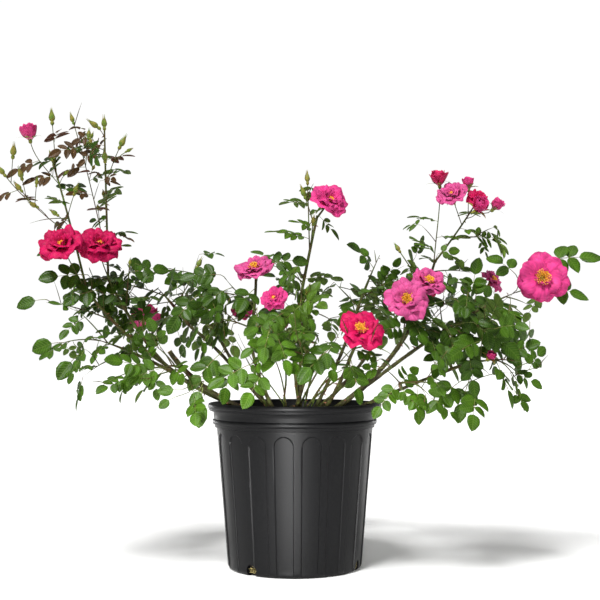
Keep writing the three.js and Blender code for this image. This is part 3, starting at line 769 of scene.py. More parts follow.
SPRAYS = {
    "spray_left_inner": SprayPlan("cane_left_lead", 1, 0.72, 2, LeafTint.BRONZE, 0.16, (
        stem((-247, -14, 380), -6), leading(0, 1, (-254, -6, 582), 0, BUD),
        leading(1, 0.1, (-297, 0, 590), 12, BUD),
        leading(0, 0.82, (-254, -38, 420), -6, bloom(60, 280, 44, CRIMSON, DOUBLE)),
        leading(1, 0.62, (-232, -8, 556), 4, BUD), leading(2, 0.68, (-279, 14, 572), 0, BUD),
        leading(0, 0.55, (-216, -26, 396), 2, BUD),
    ), (
        LeafPlan(0, 0.8, (-222, -20, 384), 20, 20),
        LeafPlan(0, 0.5, (-224, -22, 356), 180, 10, 5, 0.95),
    )),
    "spray_left_outer": SprayPlan("cane_left_lead", 0.86, 0.78, 2, LeafTint.BRONZE, 0.34, (
        stem((-272, -34, 364), -12), leading(0, 1, (-320, -22, 536), 6, BUD),
        leading(1, 0.8, (-347, -30, 560), -4, half(25, 240, 80)),
        leading(1, 0.88, (-322, -14, 588), 0, BUD), leading(1, 0.42, (-355, -46, 492), -8, BUD),
        leading(4, 0.6, (-376, -50, 512), -4, BUD),
        leading(0, 0.9, (-297, -62, 417), -6, bloom(64, 256, 40, CRIMSON, DOUBLE)),
        leading(0, 0.62, (-322, -38, 346), 5),
    ), (
        LeafPlan(0, 0.9, (-268, -40, 382), 184, 4),
        LeafPlan(0, 0.7, (-254, -44, 362), 200, -8, 3, 0.95),
        LeafPlan(7, 0.9, (-322, -38, 350), 182, 2, 1, 1.0),
    )),
    "spray_left_low": SprayPlan("cane_left_lead", 0.7, 0.8, 2, LeafTint.GREEN, 0.5, (
        stem((-262, -46, 300), 6), leading(0, 0.55, (-270, -58, 250), 8),
        leading(0, 0.9, (-312, -34, 290), 6), leading(0, 0.3, (-206, -76, 250), 8),
        leading(0, 0.5, (-232, 14, 322), 4),
    ), (
        LeafPlan(2, 0.8, (-298, -42, 294), 182, 4, 1, 1.1),
        LeafPlan(2, 0.6, (-276, -46, 280), 215, -34, 1, 1.1),
    )),
    "spray_left_mid": SprayPlan("cane_left_mid", 1, 1, 5, LeafTint.DEEP, 0.46, (
        stem((-186, 30, 368), 2), leading(0, 0.5, (-134, 54, 400), -4, BUD),
        leading(0, 0.9, (-206, 14, 330), 8), leading(0, 0.15, (-112, -8, 366), 4),
    )),
    "spray_left_hang": SprayPlan("cane_left_cut", 0.72, 0.9, 2, LeafTint.GREEN, 0.62, (
        stem((-164, -92, 262), 10), leading(0, 0.4, (-124, -98, 226), 12),
        leading(0, 0.95, (-242, -98, 238), 10), leading(0, 0.6, (-172, -118, 290), 4),
    ), (
        LeafPlan(1, 0.85, (-114, -95, 238), 200, -82, 1, 1.2),
        LeafPlan(1, 0.7, (-112, -95, 246), 185, -60, 1, 0.9),
        LeafPlan(1, 0.6, (-138, -96, 236), 180, 5, 1, 0.85),
        LeafPlan(1, 0.75, (-146, -97, 227), 185, -20, 1, 0.7),
    )),
    "spray_left_back": SprayPlan("cane_left_back", 1, 1, 3, LeafTint.DEEP, 0.42, (
        stem((-172, 132, 366), 6), leading(0, 0.5, (-214, 96, 328), 8, bloom(50, 125, 50, PINK)),
        leading(0, 0.4, (-112, 168, 320), 10), leading(0, 0.7, (-142, 88, 402), 0),
    )),
    "spray_left_front": SprayPlan("cane_left_front", 1, 1, 5, LeafTint.DEEP, 0.3, (
        stem((-52, -24, 390), 0, bloom(53, 255, 52, MAUVE)),
        leading(0, 0.3, (-26, -68, 349), -5, bloom(37, 256, 36, PINK, DOUBLE)),
        leading(0, 0.2, (-118, -70, 322), 8), leading(0, 0.5, (-92, -38, 380), -4),
        leading(0, 0.35, (-72, 40, 338), 0, bloom(30, 100, 40, PINK)),
    ), (
        LeafPlan(0, 0.9, (-34, -26, 396), 8, 18, 5, 0.85),
        LeafPlan(3, 0.9, (-96, -40, 382), 184, 4, 5, 0.85),
        LeafPlan(3, 0.6, (-84, -46, 364), 205, -20, 3, 0.9),
        LeafPlan(0, 0.8, (-52, -36, 364), 240, -25, 3, 0.95),
        LeafPlan(0, 0.6, (-54, -48, 338), 300, -30, 5, 0.95),
        LeafPlan(2, 0.5, (-92, -66, 282), 200, -40),
        LeafPlan(2, 0.3, (-78, -64, 268), 250, -50, 5, 0.9),
    )),
    "spray_centre": SprayPlan("cane_centre", 1, 0.86, 1, LeafTint.FRESH, 0.2, (
        stem((30, -15, 462), 6), leading(0, 1, (46, -20, 481), 0, bloom(54, 296, 30, PINK, DOUBLE)),
        leading(0, 0.7, (17, -10, 508), 4, BUD), leading(0, 0.9, (13, -16, 488), 2, BUD),
        leading(0, 0.75, (24, -30, 450), 2, BUD), leading(0, 0.18, (16, -48, 358), -4, BUD),
        leading(0, 0.45, (-20, 16, 408), -4),
    )),
    "spray_front": SprayPlan("cane_front", 1, 1, 5, LeafTint.GREEN, 0.3, (
        stem((28, -134, 300), 4), leading(0, 0.3, (-38, -126, 278), 10),
        leading(0, 0.6, (4, -150, 256), 12), leading(0, 0.2, (-8, -98, 322), 2),
    ), (
        LeafPlan(1, 0.9, (-52, -120, 268), 190, -22, 5, 0.95),
        LeafPlan(1, 0.7, (-36, -122, 260), 225, -45, 5, 0.85),
    )),
    "spray_right_front": SprayPlan("cane_right_front", 1, 1, 4, LeafTint.DEEP, 0.32, (
        stem((82, -98, 308), 0, bloom(60, 276, 40, CRIMSON)), leading(0, 0.4, (122, -132, 276), 10),
        leading(0, 0.2, (66, -142, 252), 10),
    )),
    "spray_right_mid": SprayPlan("cane_right_mid", 1, 0.95, 5, LeafTint.GREEN, 0.58, (
        stem((116, 40, 414), 6), leading(0, 0.35, (54, 56, 378), 0),
        leading(0, 0.5, (150, 12, 378), 6), leading(0, 0.15, (94, -22, 352), 4),
    )),
    "spray_right_lead": SprayPlan("cane_right_lead", 0.8, 0.96, 4, LeafTint.DEEP, 0.1, (
        stem((146, -62, 322), 0), leading(0, 0.95, (140, -102, 346), -4, bloom(57, 262, 26, MAUVE)),
        leading(0, 1, (170, -70, 370), -4, bloom(49, 290, 44, MAUVE)),
        leading(0, 0.6, (202, -92, 316), 8),
    )),
    "spray_right_top": SprayPlan("cane_right_lead", 1, 0.84, 2, LeafTint.FRESH, 0.1, (
        stem((188, 8, 404), -4),
        leading(0, 1, (245, 2, 486), -4, bloom(34, 290, 40, CRIMSON, DOUBLE)),
        leading(1, 0.6, (210, 0, 490), 0, bloom(47, 245, 40, MAUVE, DOUBLE)),
        leading(1, 0.8, (267, 12, 474), -2, half(20, 340, 50)),
        leading(0, 0.92, (195, 12, 506), 0, half(24, 240, 74, CRIMSON)),
        leading(0, 0.5, (142, 34, 420), 0, BUD),
        leading(1, 0.7, (242, -14, 468), -2, half(24, 290, 40)),
        leading(1, 0.75, (234, 14, 502), 0, half(18, 80, 80)),
    )),
    "spray_right_far": SprayPlan("cane_right_far", 1, 1.05, 2, LeafTint.GREEN, 0.2, (
        stem((296, -16, 362), 4),
        leading(0, 0.95, (322, -34, 378), -4, bloom(70, 268, 8, PINK, SINGLE)),
        leading(0, 0.5, (272, 58, 380), 4, bloom(38, 325, 36, MAUVE)),
        leading(0, 0.7, (300, -44, 306), 8), leading(0, 0.35, (232, 34, 366), 2),
    ), (
        LeafPlan(1, 0.7, (334, -10, 402), 0, 14, 5, 1.15),
        LeafPlan(1, 0.5, (336, -12, 370), 0, -10, 3, 1.05),
        LeafPlan(0, 0.9, (290, -22, 384), 150, 45, 3, 0.95),
        LeafPlan(0, 0.8, (282, -28, 346), 250, -40, 3, 1.1),
    )),
    "spray_right_low": SprayPlan("cane_right_low", 1, 1, 4, LeafTint.GREEN, 0.5, (
        stem((262, -64, 272), 6), leading(0, 0.6, (244, -84, 274), 4, half(14, 300, 40)),
        leading(0, 0.35, (226, -92, 232), 10), leading(0, 0.95, (290, -52, 236), 8),
        leading(0, 0.85, (286, -92, 246), 10), leading(0, 0.2, (202, -62, 312), 0),
    ), (
        LeafPlan(2, 0.8, (219, -90, 250), 190, -70, 3, 1.15),
        LeafPlan(2, 0.6, (208, -88, 246), 205, -30, 5, 1.0),
    )),
    "spray_right_inner": SprayPlan("cane_right_far", 0.74, 1.05, 3, LeafTint.DEEP, 0.36, (
        stem((226, -42, 326), 2), leading(0, 0.6, (214, -96, 296), 8),
        leading(0, 0.95, (256, -74, 296), 8), leading(0, 0.5, (190, -16, 352), 0),
    )),
    "spray_right_rim": SprayPlan("cane_right_low", 0.66, 0.85, 2, LeafTint.GREEN, 0.4, (
        stem((128, -112, 240), 8), leading(0, 0.6, (168, -112, 226), 10),
    )),
    "spray_right_back": SprayPlan("cane_right_back", 1, 1, 3, LeafTint.DEEP, 0.5, (
        stem((176, 128, 370), 4, bloom(54, 60, 52, CRIMSON)), leading(0, 0.5, (216, 96, 320), 8),
        leading(0, 0.5, (122, 168, 322), 8), leading(0, 0.75, (168, 82, 406), 0),
    )),
    "spray_back": SprayPlan("cane_back", 1, 1, 3, LeafTint.GREEN, 0.42, (
        stem((12, 148, 388), 6), leading(0, 0.45, (66, 162, 318), 8),
        leading(0, 0.4, (-30, 158, 322), 8, bloom(48, 95, 50, MAUVE)),
        leading(0, 0.2, (14, 182, 284), 12), leading(0, 0.75, (-24, 104, 404), 0),
    ), (
        LeafPlan(1, 0.9, (62, 172, 326), 84, 12), LeafPlan(2, 0.8, (-24, 172, 330), 100, 10),
        LeafPlan(3, 0.9, (14, 192, 296), 90, 8), LeafPlan(3, 0.6, (14, 178, 306), 80, 25, 5, 0.95),
    )),
}

# ---------------------------------------------------------------- growth


@dataclass
class Shoot:
    """A grown shoot: its line, its radius at the foot, and what it ends in."""

    path: Path
    radius: float
    head: Head | None = None
    fine: bool = False
    carried_on: bool = False

    def radius_at(self, share: float, taper: float = 0.72, thinnest: float = 0.55) -> float:
        """Its radius a share of the way along it."""
        return mix(self.radius, max(thinnest, self.radius * taper), share)

    def drawn_radius(self, share: float, point: float = 0.75, starts: float = 0.5) -> float:
        """Its radius as made, where a shoot that ends in nothing runs out to a point."""
        ends_here = self.head is None and not self.carried_on
        return self.radius_at(share) * (1 - point * smooth(starts, 1, share) * ends_here)


@dataclass(frozen=True)
class LeafPlace:
    """Where one compound leaf grows: its foot, its stalk's line, its blade's normal and its size."""

    foot: np.ndarray
    axis: np.ndarray
    normal: np.ndarray
    size: float
    leaflets: int
    seed: float

    def reach(self, length: float) -> np.ndarray:
        """The point that a leaf of a length reaches from its foot."""
        return self.foot + self.axis * length * self.size


@dataclass(frozen=True)
class Room:
    """Where leaves and fine twigs may grow: in the solids' reach, and clear of blooms and mouth."""

    low: np.ndarray
    high: np.ndarray
    blooms: tuple[tuple[np.ndarray, Head], ...]
    spare: tuple[float, float, float] = (19.0, 11.0, 11.0)  # past the solids' box
    margin: float = 5.0  # kept clear round a bloom
    depth: float = 130.0  # kept clear in front of it
    behind: float = 0.2  # and behind its face, in shares of its radius
    mouth_half: float = 64.0  # half the width that is kept clear over the mouth, for the canes
    mouth_clear: float = 240.0  # and up to what height
    low_half: float = 338.0  # how far aside the low branches reach
    low_heights: tuple[float, float] = (468.0, 345.0)  # and how high, to the left and right

    def free(self, point: np.ndarray) -> bool:
        """Whether a point may be grown into.

        Args:
            point: the place.

        Returns:
            True if it is within reach and clear of the mouth and the blooms.
        """
        if abs(point[0]) > self.low_half and point[2] < self.low_heights[int(point[0] > 0)]:
            return False
        if (point < self.low - self.spare).any() or (point > self.high + self.spare).any():
            return False
        if abs(point[0]) < self.mouth_half and point[2] < self.mouth_clear:
            return False
        return not any(self._hides(point, place, head) for place, head in self.blooms)

    def _hides(self, point: np.ndarray, place: np.ndarray, head: Head) -> bool:
        """Whether a point hides a bloom, seen square on, from its own level or from the front.

        Args:
            point: the place.
            place: the bloom's place.
            head: the bloom.

        Returns:
            True if something there would hide it.
        """
        radius = head.width / 2
        ways = [heading(head.bearing, head.elevation), heading(head.bearing, 0)]
        if ways[1][1] < 0:
            ways.append(FRONT)
        for facing in ways:
            ahead = float((point - place) @ facing)
            aside = float(np.linalg.norm(point - place - facing * ahead))
            if -self.behind * radius < ahead < self.depth and aside < radius + self.margin:
                return True
        return False


@dataclass
class Grower:
    """The rule by which canes, shoots, twigs and leaves grow, with the source's own sizes."""

    soil_level: float = 200.0
    clearance: float = 0.3  # between a cane's tip and the spray on it
    handle: float = 0.36  # of a cane's span
    buried: float = 2.0  # radii below the mix at which a cane's curve starts
    steepening: float = 8.0
    bends: tuple[float, float] = (0.35, 0.7)
    stem_radius: float = 2.4
    side: float = 0.48  # of its parent's radius, for a shoot that leaves its side
    onward: float = 0.9  # for one that carries it on
    onward_from: float = 0.98  # of the parent's length
    thinnest: float = 0.6
    neck: float = 22.0  # how far under a bloom its stem already faces as the bloom does
    neck_share: float = 0.4  # at most, of the shoot
    twig_along: tuple[float, float] = (0.3, 0.85)
    twig_length: tuple[float, float] = (50.0, 82.0)
    twig_elevation: tuple[float, float] = (-24.0, 46.0)
    twig_fan: float = 170.0
    twig_bow: float = 4.0
    fine_spacing: float = 42.0  # of shoot to each finer twig
    budding_spacing: float = 0.72  # of that, in a budding spray
    fine_start: tuple[float, float] = (0.35, 0.5)  # of that, the first gap and how much it varies
    fine_out: float = 0.8  # how far a finer twig heads outwards
    fine_on: float = 0.6  # and along its parent
    fine_lifts: tuple[float, float] = (0.25, 0.9)  # and up at most, in a leafy and a budding spray
    fine_length: tuple[float, float] = (16.0, 40.0)
    fine_bow: float = 2.0
    budless_share: float = 0.45  # of a budding spray's finer twigs
    bud_height: float = 440.0  # above which they bud
    node_spacing: float = 19.0
    leaf_turn: float = 144.0
    leaf_rise: float = 38.0
    leaf_droop: float = 0.35
    faces_up: float = 0.9
    faces_away: float = 0.35  # from the bush's axis
    faces_on: float = 0.6  # along its shoot
    light_side: tuple[float, float, float] = (-0.1, -0.7, 0.0)  # where most of its light comes from
    leaf_roll: float = 70.0
    leaf_sizes: tuple[float, float] = (0.8, 1.15)
    three_share: float = 0.4  # of a finer twig's leaves, those of three leaflets
    seven_share: float = 0.7  # of a stouter shoot's leaves, those of fewer than seven
    faces_out: tuple[float, float, float] = (0.0, -1.0, 0.55)  # a leaf that shows by itself
    leaf_twig: float = 0.6
    shown_size: float = 1.14  # of a leaf that shows by itself
    basal_count: int = 12
    basal_depth: float = 0.55  # of their spread to the sides
    basal_foot: tuple[float, float] = (8.0, 40.0)  # from the crown's middle
    basal_rise: tuple[float, float] = (0.55, 2.2)  # to each length that they head outwards
    basal_length: tuple[float, float] = (70.0, 150.0)
    basal_lift: tuple[float, float] = (10.0, 30.0)  # of their bend
    basal_sway: float = 26.0  # of it to either side
    basal_radii: tuple[float, float] = (0.9, 1.6)
    golden_angle: float = 137.5

    def cane_path(self, plan: CanePlan) -> Path:
        """A cane's curve.

        Args:
            plan: the cane.

        Returns:
            The path, from below the mix to its tip.
        """
        end = np.array(plan.tip, float)
        start = vec(*plan.foot, self.soil_level)
        bearing = math.degrees(math.atan2(end[1] - start[1], end[0] - start[0]))
        away = heading(bearing, plan.rise)
        slope = math.tan(math.radians(plan.rise + self.steepening))
        start = start - away * (self.buried * plan.radii[0] / slope)
        handle = np.linalg.norm(end - start) * self.handle
        leaving = heading(bearing, plan.finish) * handle
        return Path.bezier([start, start + away * handle, end - leaving, end], 60)

    def shoot_path(self, start: np.ndarray, tip: np.ndarray, bow: float, head: Head | None) -> Path:
        """The line of a shoot.

        Args:
            start: where it leaves its parent.
            tip: where it ends.
            bow: how far its middle stands above the straight line.
            head: what it ends in.

        Returns:
            The path.
        """
        first, second = (start + (tip - start) * share + UP * bow for share in self.bends)
        if head and head.kind is not HeadKind.BUD:
            neck = min(self.neck, float(np.linalg.norm(tip - start)) * self.neck_share)
            second = tip - heading(head.bearing, head.elevation) * neck
        return Path.bezier([start, first, second, tip])

    def branch(self, parent: Shoot, plan: ShootPlan) -> Shoot:
        """A shoot that leaves its parent's side, or carries it on from its tip.

        Args:
            parent: the shoot that it leaves.
            plan: the shoot.

        Returns:
            The grown shoot.
        """
        carries_on = plan.along == 1
        along = self.onward_from if carries_on else plan.along
        share = self.onward if carries_on else self.side
        radius = max(self.thinnest, share * parent.radius_at(along))
        tip = np.array(plan.tip, float)
        path = self.shoot_path(parent.path.at(along), tip, plan.bow, plan.head)
        return Shoot(path, radius, plan.head)

    def leading_shoots(self, plan: SprayPlan, cane: Path) -> list[Shoot]:
        """The leading shoots of a spray.

        Args:
            plan: the spray.
            cane: the line of its cane.

        Returns:
            The shoots, the stem first.
        """
        start = cane.at(plan.along)
        if plan.along == 1:
            start = start + cane.tangent(1) * self.clearance
        foot = plan.shoots[0]
        path = self.shoot_path(start, np.array(foot.tip, float), foot.bow, foot.head)
        grown = [Shoot(path, self.stem_radius, foot.head)]
        for shoot in plan.shoots[1:]:
            parent = grown[shoot.parent]
            parent.carried_on |= shoot.along == 1
            grown.append(self.branch(parent, shoot))
        return grown

    def seeded_twigs(self, plan: SprayPlan, leads: list[Shoot], seed: int) -> list[Shoot]:
        """The twigs that fill a spray.

        Args:
            plan: the spray.
            leads: its leading shoots, which carry them.
            seed: the spray's number.

        Returns:
            The twigs.
        """
        twigs = []
        for k in range(plan.twigs):
            carrier = leads[k % len(leads)]
            along = mix(*self.twig_along, noise(seed, k, 1))
            start = carrier.path.at(along)
            outward = math.degrees(math.atan2(start[1], start[0]))
            bearing = outward + self.twig_fan * (noise(seed, k, 2) - 0.5)
            elevation = mix(*self.twig_elevation, noise(seed, k, 3))
            length = mix(*self.twig_length, noise(seed, k, 4))
            tip = start + heading(bearing, elevation) * length
            twigs.append(self.branch(carrier, ShootPlan(tuple(tip), along=along, bow=self.twig_bow)))
        return twigs

    def fine_twigs(self, plan: SprayPlan, carriers: list[Shoot], seed: int) -> list[Shoot]:
        """Twigs finer than the solids have, some of them with a bud in a budding spray.

        Args:
            plan: the spray.
            carriers: the shoots that they leave.
            seed: the spray's number.

        Returns:
            The twigs.
        """
        budding = plan.tint is LeafTint.BRONZE
        spacing = self.fine_spacing * (self.budding_spacing if budding else 1)
        twigs = []
        for order, carrier in enumerate(carriers):
            count = int(carrier.path.length / spacing)
            for k in range(count):
                draw = [noise(seed + 40, order * 7 + k, i) for i in range(5)]
                along = (k + self.fine_start[0] + self.fine_start[1] * draw[0]) / count
                tangent = carrier.path.tangent(along)
                around = turned(square_to(UP, tangent), tangent, 360 * draw[1])
                lift = UP * self.fine_lifts[int(budding)] * draw[2]
                away = unit(around * self.fine_out + tangent * self.fine_on + lift)
                length = mix(*self.fine_length, draw[3])
                tip = carrier.path.at(along) + away * length
                buds = budding and draw[4] > self.budless_share and tip[2] > self.bud_height
                twig_plan = ShootPlan(tuple(tip), 0, along, self.fine_bow, BUD if buds else None)
                twig = self.branch(carrier, twig_plan)
                twig.fine = True
                twigs.append(twig)
        return twigs

    def leaf_alone(self, plan: LeafPlan, leads: list[Shoot], seed: float) -> tuple[Shoot, LeafPlace]:
        """A leaf that shows by itself.

        Args:
            plan: the leaf.
            leads: the leading shoots, one of which carries it.
            seed: sets how its leaflets lie.

        Returns:
            The bare twig that carries it, and its place.
        """
        start = leads[plan.parent].path.at(plan.along)
        foot, axis = np.array(plan.foot, float), heading(plan.bearing, plan.elevation)
        run = float(np.linalg.norm(foot - start)) * self.handle
        leaving = leads[plan.parent].path.tangent(plan.along)
        path = Path.bezier([start, start + leaving * run, foot - axis * run, foot], 10)
        twig = Shoot(path, self.leaf_twig, fine=True, carried_on=True)
        normal = square_to(vec(*self.faces_out), axis)
        return twig, LeafPlace(foot, axis, normal, plan.size * self.shown_size, plan.leaflets, seed)

    def basal_shoots(self) -> list[Shoot]:
        """Slender stems that rise from the crown among the canes, most of them to the sides.

        Returns:
            The stems.
        """
        shoots = []
        for k in range(self.basal_count):
            draw = [noise(61, k, i) for i in range(6)]
            bearing = self.golden_angle * k
            away = heading(bearing, 0) * vec(1, self.basal_depth, 0)
            foot = away * mix(*self.basal_foot, draw[0]) + UP * (self.soil_level - 2)
            rise = UP * mix(*self.basal_rise, draw[1]) * float(np.linalg.norm(away))
            tip = foot + unit(away + rise) * mix(*self.basal_length, draw[2])
            aside = heading(bearing + 90, 0) * mix(-self.basal_sway, self.basal_sway, draw[5])
            bend = foot + UP * mix(*self.basal_lift, draw[3]) + (tip - foot) * 0.4 + aside
            path = Path.bezier([foot, foot + UP * 12 - aside, bend + aside * 0.6, tip])
            shoots.append(Shoot(path, mix(*self.basal_radii, draw[4])))
        return shoots

    def leaf_places(self, shoot: Shoot, size: float, seed: int, order: int) -> list[LeafPlace]:
        """Where the leaves of one shoot grow, each a fixed turn on from the last.

        Args:
            shoot: the shoot.
            size: of its leaves.
            seed: the spray's number.
            order: the shoot's number in the spray.

        Returns:
            The places, from its foot on.
        """
        ends = 1 if shoot.head else 0
        nodes = max(0 if ends else 1, int(shoot.path.length / self.node_spacing) - ends)
        places = []
        for k in range(nodes):
            along = (k + 0.75) / (nodes + ends) if ends else (k + 1) / nodes
            turn = k * self.leaf_turn + 360 * noise(seed, order, 0)
            tangent = shoot.path.tangent(along)
            level = square_to(vec(1, 0, 0) if abs(tangent[2]) > 0.9 else UP, tangent)
            radial = turned(level, tangent, turn)
            rise = math.radians(self.leaf_rise)
            axis = unit(radial * math.cos(rise) + tangent * math.sin(rise) - UP * self.leaf_droop)
            place = shoot.path.at(along)
            away = unit(place * vec(1, 1, 0) + FRONT)
            facing = tangent * self.faces_on + UP * self.faces_up + away * self.faces_away
            facing = square_to(facing + vec(*self.light_side), axis)
            normal = turned(facing, axis, self.leaf_roll * (noise(seed, order, k + 1) - 0.5))
            grown = size * mix(*self.leaf_sizes, noise(seed, order, k + 50))
            kind = noise(seed, order, k + 90)
            leaflets = 3 if shoot.fine and kind < self.three_share else 5
            if not shoot.fine and kind > self.seven_share:
                leaflets = 7
            own_seed = noise(seed, order, k + 130)
            places.append(LeafPlace(place, axis, normal, grown, leaflets, own_seed))
        return places


# ---------------------------------------------------------------- shapes that repeat


def sheet(points: list, uv: list, rows: int, columns: int, turned_over: bool = False) -> Shape:
    """A single-sided sheet over a grid of points.

    Args:
        points: its points, row by row.
        uv: their places in the texture.
        rows: the faces along it.
        columns: the faces across it.
        turned_over: whether its faces look the other way.

    Returns:
        The shape.
    """
    wide = columns + 1
    faces = [
        (r * wide + c, (r + 1) * wide + c, (r + 1) * wide + c + 1, r * wide + c + 1)
        for r in range(rows)
        for c in range(columns)
    ]
    if turned_over:
        faces = [face[::-1] for face in faces]
    return Shape(np.array(points), np.array(uv), faces, [0] * len(faces))


def closed_faces(rings: int, sides: int) -> list[tuple[int, ...]]:
    """The faces over rings of points, closed by one more point at each end.

    Args:
        rings: the rings.
        sides: the points of each.

    Returns:
        The faces, the foot's first and the top's last.
    """
    faces = [(0, 1 + (s + 1) % sides, 1 + s) for s in range(sides)]
    for r in range(rings - 1):
        low, high = 1 + r * sides, 1 + (r + 1) * sides
        for s in range(sides):
            beside = (s + 1) % sides
            faces.append((low + s, low + beside, high + beside, high + s))
    top, last = 1 + (rings - 1) * sides, 1 + rings * sides
    return faces + [(top + s, top + (s + 1) % sides, last) for s in range(sides)]


def tube(
    path: Path, radius_at: Callable[[float], float], sides: int, rings: int, finish: int = 0,
    relief: Callable[[np.ndarray, float], float] | None = None,
) -> Shape:
    """A closed round limb along a path.

    Args:
        path: its line.
        radius_at: its radius at a share of its length.
        sides: points round it.
        rings: stretches along it.
        finish: the number of its finish.
        relief: how far a point of its surface stands out, from its place and share.

    Returns:
        The shape, flat at its foot and closed at its tip.
    """
    across = ODD_WAY
    points, uv = [path.at(0)], [(0.0, 0.5)]
    for r in range(rings + 1):
        share = r / rings
        tangent = path.tangent(share)
        across = square_to(across, tangent)
        beside = np.cross(tangent, across)
        middle, radius = path.at(share), radius_at(share)
        for s in range(sides):
            angle = 2 * math.pi * s / sides
            out = across * math.cos(angle) + beside * math.sin(angle)
            place = middle + out * radius
            points.append(place + out * relief(place, share) if relief else place)
            uv.append((share, s / sides))
    points.append(path.at(1))
    uv.append((1.0, 0.5))
    faces = closed_faces(rings + 1, sides)
    return Shape(np.array(points), np.array(uv), faces, [finish] * len(faces))


def turned_shape(profile: list[tuple[float, float]], segments: int) -> Shape:
    """A closed shape of revolution about Z.

    Args:
        profile: radius and height pairs, from the axis at the foot to the axis at the top.
        segments: points round it.

    Returns:
        The shape.
    """
    points = [(0.0, 0.0, profile[0][1])]
    for radius, height in profile[1:-1]:
        for s in range(segments):
            angle = 2 * math.pi * s / segments
            points.append((radius * math.cos(angle), radius * math.sin(angle), height))
    points.append((0.0, 0.0, profile[-1][1]))
    heights = np.array([point[2] for point in points])
    along = (heights - heights.min()) / max(1e-6, heights.max() - heights.min())
    uv = np.column_stack([along, np.full(len(points), 0.5)])
    faces = closed_faces(len(profile) - 2, segments)
    return Shape(np.array(points), uv, faces, [0] * len(faces))


@dataclass(frozen=True)
class Leaflet:
    """One leaflet, 1 mm long: pointed and oval, folded along its midrib, with a toothed edge."""

    width: float = 0.7
    fold: float = 0.28
    sag: float = 0.12
    tooth: float = 0.05  # of its width
    rows: int = 7
    columns: int = 4
    crowding: float = 0.35  # how far its rows crowd towards its ends
    foot_curve: float = 0.62  # the powers that round the outline at its foot
    tip_curve: float = 0.78  # and at its tip
    outline_peak: float = 0.378  # the most that they come to
    curls: tuple[float, float] = (-0.3, 1.0)
    twists: tuple[float, float] = (-0.35, 0.35)
    folds: tuple[float, float] = (0.4, 1.5)
    bulges: tuple[float, float] = (0.9, 1.1)

    def shape(self, seed: int) -> Shape:
        """A leaflet along +X that faces +Z.

        Args:
            seed: sets how it curls.

        Returns:
            The single-sided shape, textured from its foot to its tip.
        """
        curl = mix(*self.curls, noise(seed, 3, 1))
        twist = mix(*self.twists, noise(seed, 3, 2))
        fold = self.fold * mix(*self.folds, noise(seed, 3, 3))
        bulge = mix(*self.bulges, noise(seed, 3, 4))
        points, uv = [], []
        for r in range(self.rows + 1):
            share = r / self.rows
            along = smooth(0, 1, share) * self.crowding + (1 - self.crowding) * share
            rounded = (along + 1e-9) ** self.foot_curve * (1 - along) ** self.tip_curve
            broad = rounded / self.outline_peak
            tooth = 1 - self.tooth * (r % 2)
            for c in range(self.columns + 1):
                side = 2 * c / self.columns - 1
                edge = tooth if abs(side) == 1 else 1.0
                across = side * broad * bulge * self.width / 2 * edge
                cupped = fold * abs(across) - 0.5 * fold * across * across / self.width
                height = cupped - self.sag * curl * along * along + twist * across * along
                points.append((along, across, height))
                uv.append((along, 0.5 + across / self.width))
        return sheet(points, uv, self.rows, self.columns)


